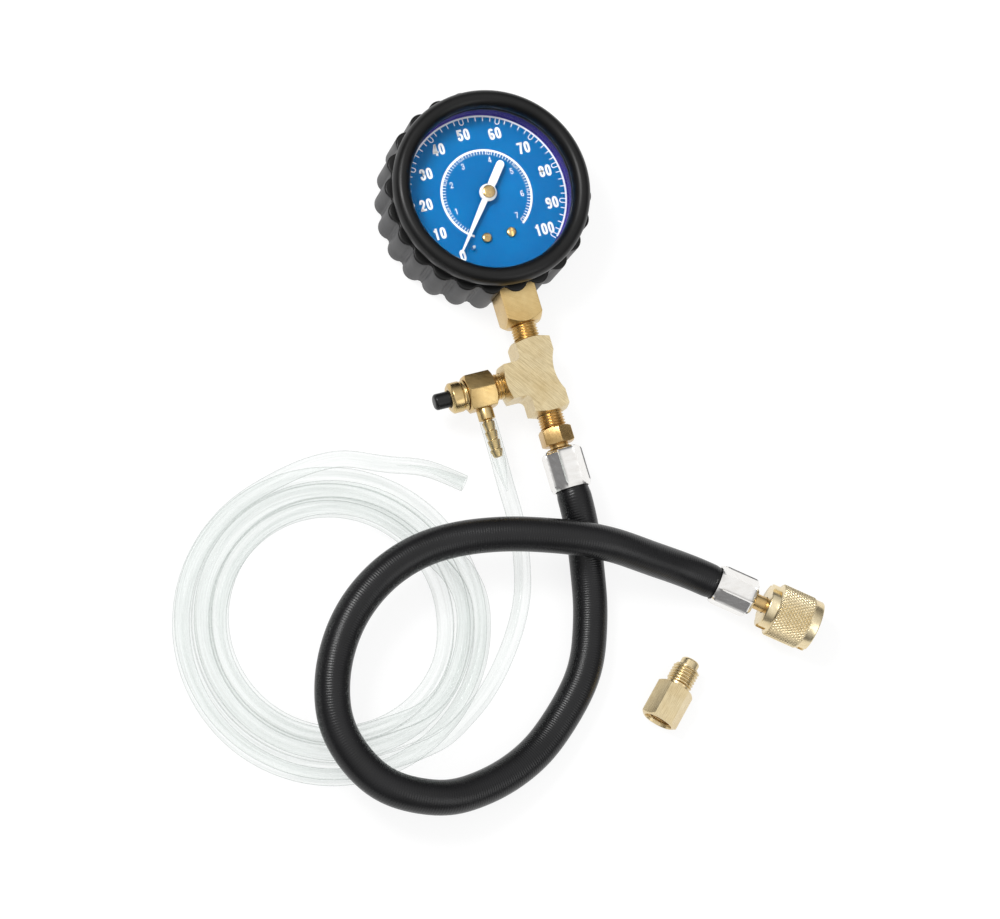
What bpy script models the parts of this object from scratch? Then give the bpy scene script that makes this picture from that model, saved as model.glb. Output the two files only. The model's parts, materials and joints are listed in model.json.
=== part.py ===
"""Fuel pressure tester: a gauge in a rubber boot, a brass tee with a bleed valve, a short
rubber hose with a knurled coupling, a clear drain tube wound in a coil, and a loose adapter.

Metres, +Z up. The tester lies face up: the back of the boot rests at z = 0, the gauge's twelve
o'clock is +Y, the stem runs along -Y and the bleed valve along -X.
"""
import math

import bmesh
import bpy
from mathutils import Matrix, Vector

# Shared clearances and finishing sizes
SEAT = 0.0003                    # gap between two pieces that touch
RUNNING = 0.0003                 # gap round a piece that turns or slides
BEVEL_SMALL = 0.0004             # broken edge on a machined piece
BARREL_ROLL_DEG = 4.0            # keeps the chamfer's facets off the hexagon's corners
ROUND_LARGE = 36                 # sides of the boot's, case's, dial's and coil's circles
ROUND = 20                       # sides of the fittings' circles
ROUND_SMALL = 12                 # sides of screws and bores
ROUND_PIN = 8
CORD_STEP = 4.0                  # distance between a cord's points, in cord radii

# Boot, a rubber moulding with grip lobes and a round front bead
BOOT_LOBES = 24
BOOT_WALL = 0.0038               # rubber between the case and a valley's floor
BOOT_LOBE_RISE = 0.0026          # lobe's height over that floor
BOOT_VALLEY_DEG = 2.6            # width of the narrow floor between two lobes
BOOT_STEP = 0.0048               # bead's centre to the lobes' flat front faces
BOOT_BACK = 0.0020               # thickness of the closed back
BOOT_LIP_COVER = 0.0022          # how far the lip reaches over the case's edge
BEAD_RADIUS = 0.0033             # radius of the rounded front bead's section
BOOT_EDGE = 0.0009               # rounding of the lobes' ends
SLOT_OVERRUN = 0.0030            # length of a cutter beyond what it cuts

# Case, lens and dial
CASE_RADIUS = 0.0336
CASE_WALL = 0.0009
CASE_CORNER = 0.0015             # bevel round the case's back
LENS_THICK = 0.0018
LENS_RAISE = 0.0049              # pointer's underside to the lens
GASKET_THICK = 0.0010
GASKET_WIDTH = 0.0016
DIAL_THICK = 0.0006
DIAL_RAISE = 0.0027              # front plate to the printed face
DIAL_HOLE = 0.0024               # hole for the pointer's arbor
STOP_MODULES = 89.2              # arbor to the zero stop, in tooth modules
CASE_SCREW_EDGE = 0.0034         # socket's side to the case screws
CASE_SCREW_INSET = 0.0071        # case's edge to the case screws
CASE_SCREW_HEAD = 0.0022
CASE_SCREW_SHANK = 0.0011
CASE_SCREW_LENGTH = 0.0060

# Movement
ARBOR_RADIUS = 0.0006
PLATE_THICK = 0.0012
BACK_PLATE_BASE = 0.0065
FRONT_PLATE_RAISE = 0.0029       # sector to the front plate
PLATE_CORNER = 0.0027            # rounding of the plates' two feet
PLATE_BOSS = 0.0036              # plate round the arbor and the sector's pivot
PILLAR_RADIUS = 0.0018
SCREW_X = 0.0049                 # dial screws, left and right of the stem's line
SCREW_INSET = 0.0046             # socket's block to the dial screws
SCREW_HEAD = 0.0019
SCREW_SHANK = 0.0006
PINION_TEETH = 12
SECTOR_CIRCLE_TEETH = 120        # teeth the sector would have as a full wheel
SECTOR_CUT_TEETH = 17            # teeth that are cut on it
MODULES_IN_CASE = 134.4          # case's radius in tooth modules
SECTOR_RAISE = 0.0023            # back plate to the sector
SECTOR_THICK = 0.0012
SECTOR_PIVOT_DEG = 8.0           # direction of the sector's pivot from the arbor
SECTOR_TRAVEL_DEG = 27.6
TAIL_MODULES = 20                # pivot to the link's pin, in tooth modules
LINK_THICK = 0.0007
LINK_EYE = 0.0016
PIN_RADIUS = 0.0006
TUBE_MODULES = 100               # radius of the tube's centre line, in tooth modules
TUBE_SECTION_WIDE = 0.0024
TUBE_SECTION_TALL = 0.0090
TUBE_START_DEG = 246.0           # where the tube leaves the socket, on the left
TUBE_END_DEG = -12.0             # its free end on the right, which rises under pressure
TIP_LENGTH = 0.0064              # block on the tube's free end
TIP_WIDTH = 0.0046
TIP_PIN = 0.0050                 # tube's end to the block's pin
TIP_PIN_INSET = 0.0018           # pin's offset from the tube's arc, towards the arbor

# Pointer
POINTER_RAISE = 0.0020           # printed face to the pointer
POINTER_THICK = 0.0007
POINTER_INSET = 0.0072           # case's edge to the pointer's tip
POINTER_TIP_WIDTH = 0.0008
POINTER_ROOT_WIDTH = 0.0022
POINTER_TAIL = 0.0140
POINTER_TAIL_WIDTH = 0.0031
POINTER_BOSS = 0.0034
POINTER_BOSS_HIGH = 0.0014
POINTER_ZERO_DEG = -129.0        # direction of the zero mark
STOP_LEAD_DEG = 8.5              # zero mark to the stop pin
CAP_RADIUS = 0.0025
CAP_THICK = 0.0009
CAP_SLOT = 0.0005

# Stem, tee and their common axis
AXIS_Z = 0.0145                  # height of the fittings' axis
STEM_SQUARE = 0.0140
STEM_END = -0.0518               # end of the square
NECK_RADIUS = 0.0058
SOCKET_BACK = 0.0052             # underside of the block inside the case
SOCKET_REACH = 0.0126            # case's edge to that block's inner face
THREAD_RADIUS = 0.0050           # 1/8 pipe thread
THREAD_POINT = 0.0005            # bevel on a thread's first turn
TEE_TOP = -0.0575
TEE_RUN = 0.0300
TEE_WIDTH = 0.0136
TEE_THICK = 0.0134
TEE_ARM_END = -0.0152
TEE_BOSS = 0.0072                # length of the full-width boss at each port
TEE_WAIST = 0.0048               # half width of the body between the bosses
TEE_PORT_DEPTH = 0.0075
TEE_PASSAGE = 0.0032
TEE_FILLET = 0.0022
TEE_CHAMFER = 0.0017             # length of the turned cone at each port
TEE_CHAMFER_FACE = 0.0064        # radius of the flat ring inside that cone
THREAD_ENGAGED = 0.0065          # length of thread inside a port
SOCKET_BORE_DROP = 0.0030        # fluid bore's depth below the fittings' axis

# Bleed valve, along -X from the tee's arm
VALVE_HEX_START = -0.0186
VALVE_HEX_END = -0.0295
VALVE_HEX_FLATS = 0.0134
VALVE_CHAMBER = 0.0040
VALVE_THREAD_BORE = 0.0032
VALVE_SEAT_BORE = 0.0014
VALVE_SEAT_X = -0.0182
VALVE_SHOULDER_X = -0.0210
VALVE_SPIGOT = 0.00485
VALVE_SPIGOT_END = -0.0322
VALVE_CAP_RADIUS = 0.00585
VALVE_CAP_END = -0.0361
VALVE_CAP_LIP = 0.0014
VALVE_CAP_GROOVE = 0.00025
BUTTON_RADIUS = 0.0031
BUTTON_END = -0.0421
BUTTON_FLANGE_THICK = 0.0012
VALVE_ROD = 0.0008
POPPET_RADIUS = 0.0026
POPPET_THICK = 0.0012
SEAL_THICK = 0.0009
SPRING_RADIUS = 0.0024
SPRING_WIRE = 0.0005
SPRING_TURNS = 5

# Drain barb, along -Y from the valve's hexagon
BARB_X = -0.0240
BARB_END = -0.0983
BARB_SPIGOT = 0.0026
BARB_SHANK = 0.0032
BARB_CREST = 0.0024
BARB_ROOT = 0.0019
BARB_RINGS = 4
BARB_COVERED = 0.0144            # length of the barb that the tube covers
BARB_BORE = 0.0010

# Clear drain tube
TUBE_RADIUS = 0.003175
COIL_CENTRE = (-0.0998, -0.1410)
COIL_OUTER = 0.0585
COIL_ROWS = 3                    # turns side by side
COIL_LAYERS = 2                  # turns on each other

# Hose, ferrules and nipple
HOSE_RADIUS = 0.0065
HOSE_CRIMPED = 0.0061            # hose's radius under a ferrule
NIPPLE_HEX_START = -0.0930
NIPPLE_HEX_END = -0.0995
NIPPLE_HEX_FLATS = 0.0114
NIPPLE_STEM = 0.0026
NIPPLE_NECK = 0.0036
FLUID_BORE = 0.0012
FERRULE_START = -0.1010
FERRULE_LENGTH = 0.0160
FERRULE_WALL = 0.00065
FERRULE_FACETS = 8
FERRULE_LIP = 0.0010

# Knurled coupling at the hose's far end
COUPLING_AT = (0.0448, -0.1650, 0.0104)
COUPLING_HEADING_DEG = -38.6
COUPLING_NECK = 0.0030
NUT_GAP = 0.0046                 # ferrule's end to the nut
NUT_BACK = 0.0034                # thickness of the nut's back wall
NUT_COLLAR_RADIUS = 0.00875
NUT_COLLAR = 0.0038
NUT_KNURL_RADIUS = 0.0104
NUT_KNURL = 0.0136
NUT_RING = 0.0034
NUT_RING_RADIUS = 0.0100
NUT_BORE = 0.0074
NUT_NOTCHES = 6                  # notches in the ring and in the collar
NUT_NOTCH_WIDE = 0.0030
NUT_NOTCH_DEEP = 0.0010
KNURL_COLUMNS = 36
KNURL_ROWS = 8
KNURL_DEPTH = 0.0005
FLANGE_THICK = 0.0030
WASHER_THICK = 0.0018
WASHER_BORE = 0.0026
DEPRESSOR_BASE = 0.0019
DEPRESSOR_PIN = 0.0007
DEPRESSOR_LENGTH = 0.0062

# Loose adapter
ADAPTER_AT = (0.0085, -0.2090)
ADAPTER_HEADING_DEG = 43.4
ADAPTER_FLATS = 0.0128
ADAPTER_HEX = 0.0149
ADAPTER_BORE = 0.0052
ADAPTER_BORE_DEPTH = 0.0120
ADAPTER_THREAD = 0.0080
ADAPTER_THREAD_RADIUS = 0.0052
ADAPTER_NOSE = 0.0040
ADAPTER_NOSE_RADIUS = 0.0036
ADAPTER_PASSAGE = 0.0016
ADAPTER_WASHER = 0.0016

# Heights that follow from the sizes above
CASE_FLOOR = BOOT_BACK + SEAT
CASE_INNER = CASE_RADIUS - CASE_WALL
CASE_SCREW_Y = CASE_SCREW_INSET - CASE_RADIUS
SOCKET_INNER = SOCKET_REACH - CASE_RADIUS
SCREW_Y = SOCKET_INNER + SCREW_INSET
TOOTH_MODULE = CASE_RADIUS / MODULES_IN_CASE
TUBE_ARC_RADIUS = TOOTH_MODULE * TUBE_MODULES
TAIL_ARM = TOOTH_MODULE * TAIL_MODULES
POINTER_LENGTH = CASE_RADIUS - POINTER_INSET
STOP_CIRCLE = TOOTH_MODULE * STOP_MODULES
SECTOR_BASE = BACK_PLATE_BASE + PLATE_THICK + SECTOR_RAISE
FRONT_PLATE_BASE = SECTOR_BASE + SECTOR_THICK + FRONT_PLATE_RAISE
DIAL_FACE = FRONT_PLATE_BASE + PLATE_THICK + DIAL_RAISE
POINTER_BASE = DIAL_FACE + POINTER_RAISE
STOP_TOP = POINTER_BASE + POINTER_THICK
LENS_BASE = POINTER_BASE + LENS_RAISE
LENS_TOP = LENS_BASE + LENS_THICK
BEAD_HEIGHT = LENS_TOP + SEAT
BOOT_LOBE_TOP = BEAD_HEIGHT - BOOT_STEP
CASE_RIM = LENS_BASE - GASKET_THICK - 2 * SEAT
BOOT_CAVITY = CASE_RADIUS + SEAT
BOOT_VALLEY = BOOT_CAVITY + BOOT_WALL
BOOT_LOBE_CREST = BOOT_VALLEY + BOOT_LOBE_RISE
BOOT_LIP_RADIUS = CASE_RADIUS - BOOT_LIP_COVER
BEAD_CENTRE = BOOT_LIP_RADIUS + BEAD_RADIUS
TEE_CENTRE_Y = TEE_TOP - TEE_RUN / 2
TEE_BOTTOM = TEE_TOP - TEE_RUN
PORT_BORE = THREAD_RADIUS + SEAT
SOCKET_HALF = (TUBE_ARC_RADIUS - TUBE_SECTION_WIDE / 2) * abs(math.cos(math.radians(TUBE_START_DEG))) - SEAT
CASE_SCREW_X = SOCKET_HALF - CASE_SCREW_EDGE
COIL_WIDTH = 2 * TUBE_RADIUS * COIL_ROWS
COIL_HEIGHT = 2 * TUBE_RADIUS * COIL_LAYERS
FERRULE_BORE = HOSE_CRIMPED + SEAT

POSITIVE_X = Vector((1, 0, 0))
NEGATIVE_X = Vector((-1, 0, 0))
POSITIVE_Y = Vector((0, 1, 0))
NEGATIVE_Y = Vector((0, -1, 0))
UP = Vector((0, 0, 1))


def polar(radius, degrees):
    """Point at a radius and direction in the XY plane."""
    angle = math.radians(degrees)
    return Vector((radius * math.cos(angle), radius * math.sin(angle), 0))


SECTOR_PIVOT = polar(TOOTH_MODULE * (PINION_TEETH + SECTOR_CIRCLE_TEETH) / 2, SECTOR_PIVOT_DEG)
TUBE_TIP = polar(TUBE_ARC_RADIUS, TUBE_END_DEG)
TIP_ALONG = polar(1.0, TUBE_END_DEG - 90.0)
TIP_INWARD = polar(-1.0, TUBE_END_DEG)
TIP_PIN_AT = TUBE_TIP + TIP_ALONG * (SEAT + TIP_PIN) + TIP_INWARD * TIP_PIN_INSET

# Hose route: points on its centre line between the two ferrules
HOSE_ROUTE = (
    (0.0, -0.1280, 0.0133),
    (-0.0004, -0.1375, 0.0107),
    (-0.0016, -0.1480, 0.0080),
    (-0.0052, -0.1645, 0.0068),
    (-0.0145, -0.1850, 0.0068),
    (-0.0340, -0.2035, 0.0072),
    (-0.0506, -0.2120, 0.0095),
    (-0.0680, -0.2155, 0.0130),
    (-0.0825, -0.2145, 0.0166),
    (-0.0995, -0.2062, 0.0195),
    (-0.1085, -0.1937, 0.0200),
    (-0.1122, -0.1785, 0.0200),
    (-0.1092, -0.1632, 0.0200),
    (-0.1022, -0.1498, 0.0200),
    (-0.0925, -0.1390, 0.0200),
    (-0.0794, -0.1305, 0.0200),
    (-0.0643, -0.1257, 0.0202),
    (-0.0486, -0.1252, 0.0208),
    (-0.0315, -0.1282, 0.0228),
    (-0.0162, -0.1330, 0.0242),
    (-0.0040, -0.1376, 0.0245),
    (0.0075, -0.1428, 0.0226),
    (0.0200, -0.1496, 0.0174),
    (0.0310, -0.1553, 0.0124),
    (0.0378, -0.1595, 0.0106),
)

# Lead of the drain tube, from the barb to the coil
LEAD_ROUTE = (
    (-0.0237, -0.1040, 0.0124),
    (-0.0226, -0.1110, 0.0080),
    (-0.0216, -0.1185, 0.0046),
    (-0.0218, -0.1270, 0.0035),
    (-0.0236, -0.1368, 0.0034),
    (-0.0266, -0.1480, 0.0034),
    (-0.0317, -0.1583, 0.0034),
    (-0.0388, -0.1684, 0.0034),
    (-0.0470, -0.1776, 0.0034),
    (-0.0560, -0.1852, 0.0034),
)

# Free end of the drain tube, from the coil's upper layer down to the table
TAIL_ROUTE = (
    (-0.0642, -0.0901, 0.0090),
    (-0.0560, -0.0922, 0.0073),
    (-0.0486, -0.0948, 0.0052),
    (-0.0424, -0.0988, 0.0037),
    (-0.0366, -0.1032, 0.0034),
)


def clear_scene():
    """Remove every object of the open file."""
    for obj in list(bpy.data.objects):
        bpy.data.objects.remove(obj, do_unlink=True)


def make_collection(name):
    """Collection linked to the scene."""
    collection = bpy.data.collections.new(name)
    bpy.context.scene.collection.children.link(collection)
    return collection


clear_scene()
PARTS = make_collection("fuel_pressure_tester")
CUTTERS = make_collection("cutters")


def make_material(name, colour, roughness, metallic=0.0):
    """Principled material with a plain colour."""
    material = bpy.data.materials.new(name)
    material.use_nodes = True
    shader = material.node_tree.nodes["Principled BSDF"]
    shader.inputs["Base Color"].default_value = (*colour, 1.0)
    shader.inputs["Roughness"].default_value = roughness
    shader.inputs["Metallic"].default_value = metallic
    return material


BRASS = make_material("brass", (0.78, 0.60, 0.30), 0.30, 1.0)
NICKEL = make_material("nickel", (0.80, 0.78, 0.74), 0.22, 1.0)
STEEL = make_material("steel", (0.55, 0.56, 0.58), 0.35, 1.0)
BLACK_PAINT = make_material("black_paint", (0.02, 0.02, 0.02), 0.40)
BOOT_RUBBER = make_material("boot_rubber", (0.035, 0.035, 0.038), 0.55)
HOSE_RUBBER = make_material("hose_rubber", (0.015, 0.015, 0.017), 0.42)
SEAL_RUBBER = make_material("seal_rubber", (0.02, 0.02, 0.02), 0.60)
DIAL_BLUE = make_material("dial_blue", (0.0, 0.17, 0.52), 0.35)
WHITE_PAINT = make_material("white_paint", (0.90, 0.90, 0.90), 0.40)
CLEAR_LENS = make_material("clear_lens", (0.95, 0.97, 0.97), 0.05)
CLEAR_VINYL = make_material("clear_vinyl", (0.88, 0.95, 0.93), 0.12)
BLACK_PLASTIC = make_material("black_plastic", (0.02, 0.02, 0.02), 0.45)


def add_object(name, mesh, material):
    """Object for one piece, in the part's collection."""
    obj = bpy.data.objects.new(name, mesh)
    PARTS.objects.link(obj)
    if material is not None:
        mesh.materials.append(material)
    return obj


def place(obj, origin, direction=UP, roll_degrees=0.0):
    """Put an object at a point with its own Z along a direction."""
    turn = Vector(direction).to_track_quat("Z", "Y").to_matrix()
    roll = Matrix.Rotation(math.radians(roll_degrees), 3, "Z")
    obj.rotation_euler = (turn @ roll).to_euler()
    obj.location = origin


def turned(name, profile, material, origin=(0, 0, 0), direction=UP, steps=ROUND, ring=False):
    """Piece turned from (radius, height) points that run down its outer side."""
    count = len(profile)
    edges = [(index, index + 1) for index in range(count - 1)]
    if ring:
        edges.append((count - 1, 0))
    mesh = bpy.data.meshes.new(name)
    mesh.from_pydata([(radius, 0.0, height) for radius, height in profile], edges, [])
    obj = add_object(name, mesh, material)
    screw = obj.modifiers.new("turn", "SCREW")
    screw.steps = steps
    screw.render_steps = steps
    screw.use_merge_vertices = True
    screw.merge_threshold = 0.000001
    screw.use_smooth_shade = True
    place(obj, origin, direction)
    return obj


def rod(name, radius, length, material, origin, direction=UP, steps=ROUND_SMALL):
    """Plain cylinder that starts at the origin and runs along the direction."""
    profile = [(0, length), (radius, length), (radius, 0), (0, 0)]
    return turned(name, profile, material, origin, direction, steps)


def box(name, size, centre, material):
    """Box from its size and centre."""
    mesh = bpy.data.meshes.new(name)
    shape = bmesh.new()
    bmesh.ops.create_cube(shape, size=1.0)
    bmesh.ops.scale(shape, vec=size, verts=shape.verts)
    shape.to_mesh(mesh)
    shape.free()
    obj = add_object(name, mesh, material)
    obj.location = centre
    return obj


def prism(name, outline, height, material, origin=(0, 0, 0)):
    """Flat outline raised by a height, with one face for each cap."""
    curve = bpy.data.curves.new(name, "CURVE")
    curve.dimensions = "2D"
    curve.fill_mode = "BOTH"
    curve.extrude = height / 2
    spline = curve.splines.new("POLY")
    spline.points.add(len(outline) - 1)
    for point, (x, y) in zip(spline.points, outline):
        point.co = (x, y, 0, 1)
    spline.use_cyclic_u = True
    obj = bpy.data.objects.new(name, curve)
    PARTS.objects.link(obj)
    obj.location = Vector(origin) + Vector((0, 0, height / 2))
    return solidified(obj, material, flat_caps=True)


def solidified(obj, material, flat_caps=False):
    """Turn a curve, or an object with modifiers, into a plain mesh object with its caps welded."""
    bpy.context.view_layer.update()
    graph = bpy.context.evaluated_depsgraph_get()
    mesh = bpy.data.meshes.new_from_object(obj.evaluated_get(graph))
    name = obj.name
    matrix = obj.matrix_world.copy()
    bpy.data.objects.remove(obj)
    shape = bmesh.new()
    shape.from_mesh(mesh)
    bmesh.ops.remove_doubles(shape, verts=shape.verts, dist=0.000001)
    if flat_caps:
        bmesh.ops.dissolve_limit(shape, angle_limit=0.001, verts=shape.verts, edges=shape.edges)
    bmesh.ops.recalc_face_normals(shape, faces=shape.faces)
    shape.to_mesh(mesh)
    shape.free()
    mesh.materials.clear()
    made = add_object(name, mesh, material)
    made.matrix_world = matrix
    return made


def combine(obj, tool, operation):
    """Boolean of one piece with a tool, which is then hidden."""
    modifier = obj.modifiers.new(operation.lower(), "BOOLEAN")
    modifier.operation = operation
    modifier.object = tool
    for collection in list(tool.users_collection):
        collection.objects.unlink(tool)
    CUTTERS.objects.link(tool)
    tool.hide_render = True
    tool.display_type = "WIRE"
    return obj


def round_edges(obj, width, degrees=40.0, segments=2):
    """Bevel on the edges sharper than an angle."""
    bevel = obj.modifiers.new("rounding", "BEVEL")
    bevel.width = width
    bevel.segments = segments
    bevel.limit_method = "ANGLE"
    bevel.angle_limit = math.radians(degrees)
    return obj


def hexagon(name, flats, length, material, origin, direction, roll_degrees=0.0):
    """Hexagon bar with turned chamfers on both ends."""
    mesh = bpy.data.meshes.new(name)
    shape = bmesh.new()
    corner = flats / 2 / math.cos(math.pi / 6)
    bmesh.ops.create_cone(shape, cap_ends=True, segments=6, radius1=corner, radius2=corner, depth=length)
    bmesh.ops.translate(shape, verts=shape.verts, vec=(0, 0, length / 2))
    shape.to_mesh(mesh)
    shape.free()
    obj = add_object(name, mesh, material)
    place(obj, origin, direction, roll_degrees)
    bite = (corner - flats / 2) * 0.6
    low = flats / 2 * 0.98
    barrel = turned(name + "_chamfer", [
        (0, length + SEAT), (low - SEAT, length + SEAT), (corner * 1.02, length - bite),
        (corner * 1.02, bite), (low - SEAT, -SEAT), (0, -SEAT)],
        material, origin, direction)
    place(barrel, origin, direction, roll_degrees + BARREL_ROLL_DEG)
    return combine(obj, barrel, "INTERSECT")


def threaded(radius, tip, root):
    """Outer side of a male thread with a bevelled point, in order of falling height."""
    if tip > root:
        return [(radius - THREAD_POINT, tip), (radius, tip - THREAD_POINT), (radius, root)]
    return [(radius, root), (radius, tip + THREAD_POINT), (radius - THREAD_POINT, tip)]


def smooth_route(points, spacing):
    """Points at an even spacing along a smooth curve through the given ones."""
    guide = [Vector(point) for point in points]
    ends = [2 * guide[0] - guide[1]] + guide + [2 * guide[-1] - guide[-2]]
    fine = []
    for first, second, third, fourth in zip(ends, ends[1:], ends[2:], ends[3:]):
        for step in range(16):
            t = step / 16
            fine.append(0.5 * (2 * second + (third - first) * t
                               + (2 * first - 5 * second + 4 * third - fourth) * t * t
                               + (3 * second - first - 3 * third + fourth) * t * t * t))
    fine.append(guide[-1])
    lengths = [0.0]
    for before, after in zip(fine, fine[1:]):
        lengths.append(lengths[-1] + (after - before).length)
    count = max(2, round(lengths[-1] / spacing))
    result = []
    place_in_list = 0
    for index in range(count + 1):
        wanted = lengths[-1] * index / count
        while place_in_list < len(lengths) - 2 and lengths[place_in_list + 1] < wanted:
            place_in_list += 1
        span = lengths[place_in_list + 1] - lengths[place_in_list]
        share = (wanted - lengths[place_in_list]) / span
        result.append(fine[place_in_list].lerp(fine[place_in_list + 1], share))
    return result


def tube(name, points, radius, material, resolution=2):
    """Cord drawn as a tube with filled caps."""
    curve = bpy.data.curves.new(name, "CURVE")
    curve.dimensions = "3D"
    curve.bevel_depth = radius
    curve.bevel_resolution = resolution
    curve.use_fill_caps = True
    spline = curve.splines.new("POLY")
    spline.points.add(len(points) - 1)
    for point, place_at in zip(spline.points, points):
        point.co = (*place_at, 1)
    curve.materials.append(material)
    obj = bpy.data.objects.new(name, curve)
    PARTS.objects.link(obj)
    return obj


def arc(centre, radius, start_deg, end_deg, steps):
    """Points on an arc of the XY plane, ends included."""
    points = []
    for index in range(steps + 1):
        angle = math.radians(start_deg + (end_deg - start_deg) * index / steps)
        points.append((centre[0] + radius * math.cos(angle), centre[1] + radius * math.sin(angle)))
    return points


def boot_outline():
    """Outline of the boot's grip: convex lobes with narrow flat valleys between them."""
    pitch = 360.0 / BOOT_LOBES
    half = math.radians((pitch - BOOT_VALLEY_DEG) / 2)
    chord = 2 * BOOT_VALLEY * math.sin(half)
    rise = BOOT_LOBE_CREST - BOOT_VALLEY * math.cos(half)
    lobe_radius = (chord * chord / 4 + rise * rise) / (2 * rise)
    centre_at = BOOT_LOBE_CREST - lobe_radius
    sweep = math.degrees(math.asin(chord / 2 / lobe_radius))
    outline = []
    for index in range(BOOT_LOBES):
        middle = pitch * index
        centre = polar(centre_at, middle)
        outline.extend(arc(centre, lobe_radius, middle - sweep, middle + sweep, 4))
    return outline


def build_boot():
    """Rubber boot: lobed grip, front bead, cavity for the case and a slot for the stem."""
    boot = prism("boot", boot_outline(), BOOT_LOBE_TOP, BOOT_RUBBER)
    round_edges(boot, BOOT_EDGE, 60.0, 1)
    bead_outer = arc((BEAD_CENTRE, BEAD_HEIGHT), BEAD_RADIUS, 90, -38, 5)
    bead_inner = arc((BEAD_CENTRE, BEAD_HEIGHT), BEAD_RADIUS, 180, 90, 3)
    foot = BOOT_LOBE_TOP - BOOT_EDGE
    front = turned("boot_front", bead_inner[:-1] + bead_outer + [
        (BOOT_VALLEY - 0.0006, foot), (BOOT_LIP_RADIUS, foot)],
        BOOT_RUBBER, steps=ROUND_LARGE, ring=True)
    combine(boot, front, "UNION")
    cavity = rod("boot_cavity", BOOT_CAVITY, BEAD_HEIGHT - BOOT_BACK, None, (0, 0, BOOT_BACK), UP, ROUND_LARGE)
    combine(boot, cavity, "DIFFERENCE")
    slot_side = STEM_SQUARE + 2 * SEAT
    slot_length = BOOT_LOBE_CREST - BOOT_CAVITY + 2 * SLOT_OVERRUN
    slot_middle = -(BOOT_LOBE_CREST + BOOT_CAVITY) / 2
    slot = box("boot_slot", (slot_side, slot_length, slot_side), (0, slot_middle, AXIS_Z), None)
    combine(boot, slot, "DIFFERENCE")
    return boot


def build_case():
    """Steel cup that holds the movement, with a hole for the socket's neck."""
    case = turned("case_shell", [
        (0, CASE_FLOOR + CASE_WALL), (CASE_RADIUS - CASE_CORNER - CASE_WALL / 2, CASE_FLOOR + CASE_WALL),
        (CASE_INNER, CASE_FLOOR + CASE_CORNER + CASE_WALL / 2), (CASE_INNER, CASE_RIM), (CASE_RADIUS, CASE_RIM),
        (CASE_RADIUS, CASE_FLOOR + CASE_CORNER), (CASE_RADIUS - CASE_CORNER, CASE_FLOOR), (0, CASE_FLOOR)],
        BLACK_PAINT, steps=ROUND_LARGE)
    hole = rod("case_hole", NECK_RADIUS + SEAT, 0.006, None, (0, -CASE_INNER + 0.002, AXIS_Z), NEGATIVE_Y)
    combine(case, hole, "DIFFERENCE")
    for side in (-1, 1):
        countersink = turned("case_countersink", case_screw_profile(SEAT), None,
                             (side * CASE_SCREW_X, CASE_SCREW_Y, CASE_FLOOR - SEAT), UP)
        combine(case, countersink, "DIFFERENCE")
    gasket_outer = CASE_RADIUS - SEAT
    turned("lens_gasket", [
        (gasket_outer - GASKET_WIDTH, LENS_BASE - SEAT), (gasket_outer, LENS_BASE - SEAT),
        (gasket_outer, CASE_RIM + SEAT), (gasket_outer - GASKET_WIDTH, CASE_RIM + SEAT)],
        SEAL_RUBBER, steps=ROUND_LARGE, ring=True)
    turned("lens", [
        (0, LENS_TOP), (CASE_RADIUS - BEVEL_SMALL, LENS_TOP), (CASE_RADIUS, LENS_TOP - BEVEL_SMALL),
        (CASE_RADIUS, LENS_BASE), (0, LENS_BASE)], CLEAR_LENS, steps=ROUND_LARGE)


def case_screw_profile(grow=0.0):
    """Countersunk screw from its flush head upwards, or its hole if grown."""
    head = CASE_SCREW_HEAD + grow
    shank = CASE_SCREW_SHANK + grow
    taper = CASE_SCREW_HEAD - CASE_SCREW_SHANK
    return [(0, CASE_SCREW_LENGTH + grow), (shank, CASE_SCREW_LENGTH + grow), (shank, taper), (head, 0), (0, 0)]


def build_case_screws():
    """Two screws that hold the socket to the case from behind."""
    for number, side in ((1, -1), (2, 1)):
        turned(f"case_screw_{number}", case_screw_profile(), STEEL,
               (side * CASE_SCREW_X, CASE_SCREW_Y, CASE_FLOOR), UP, ROUND_SMALL)


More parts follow.
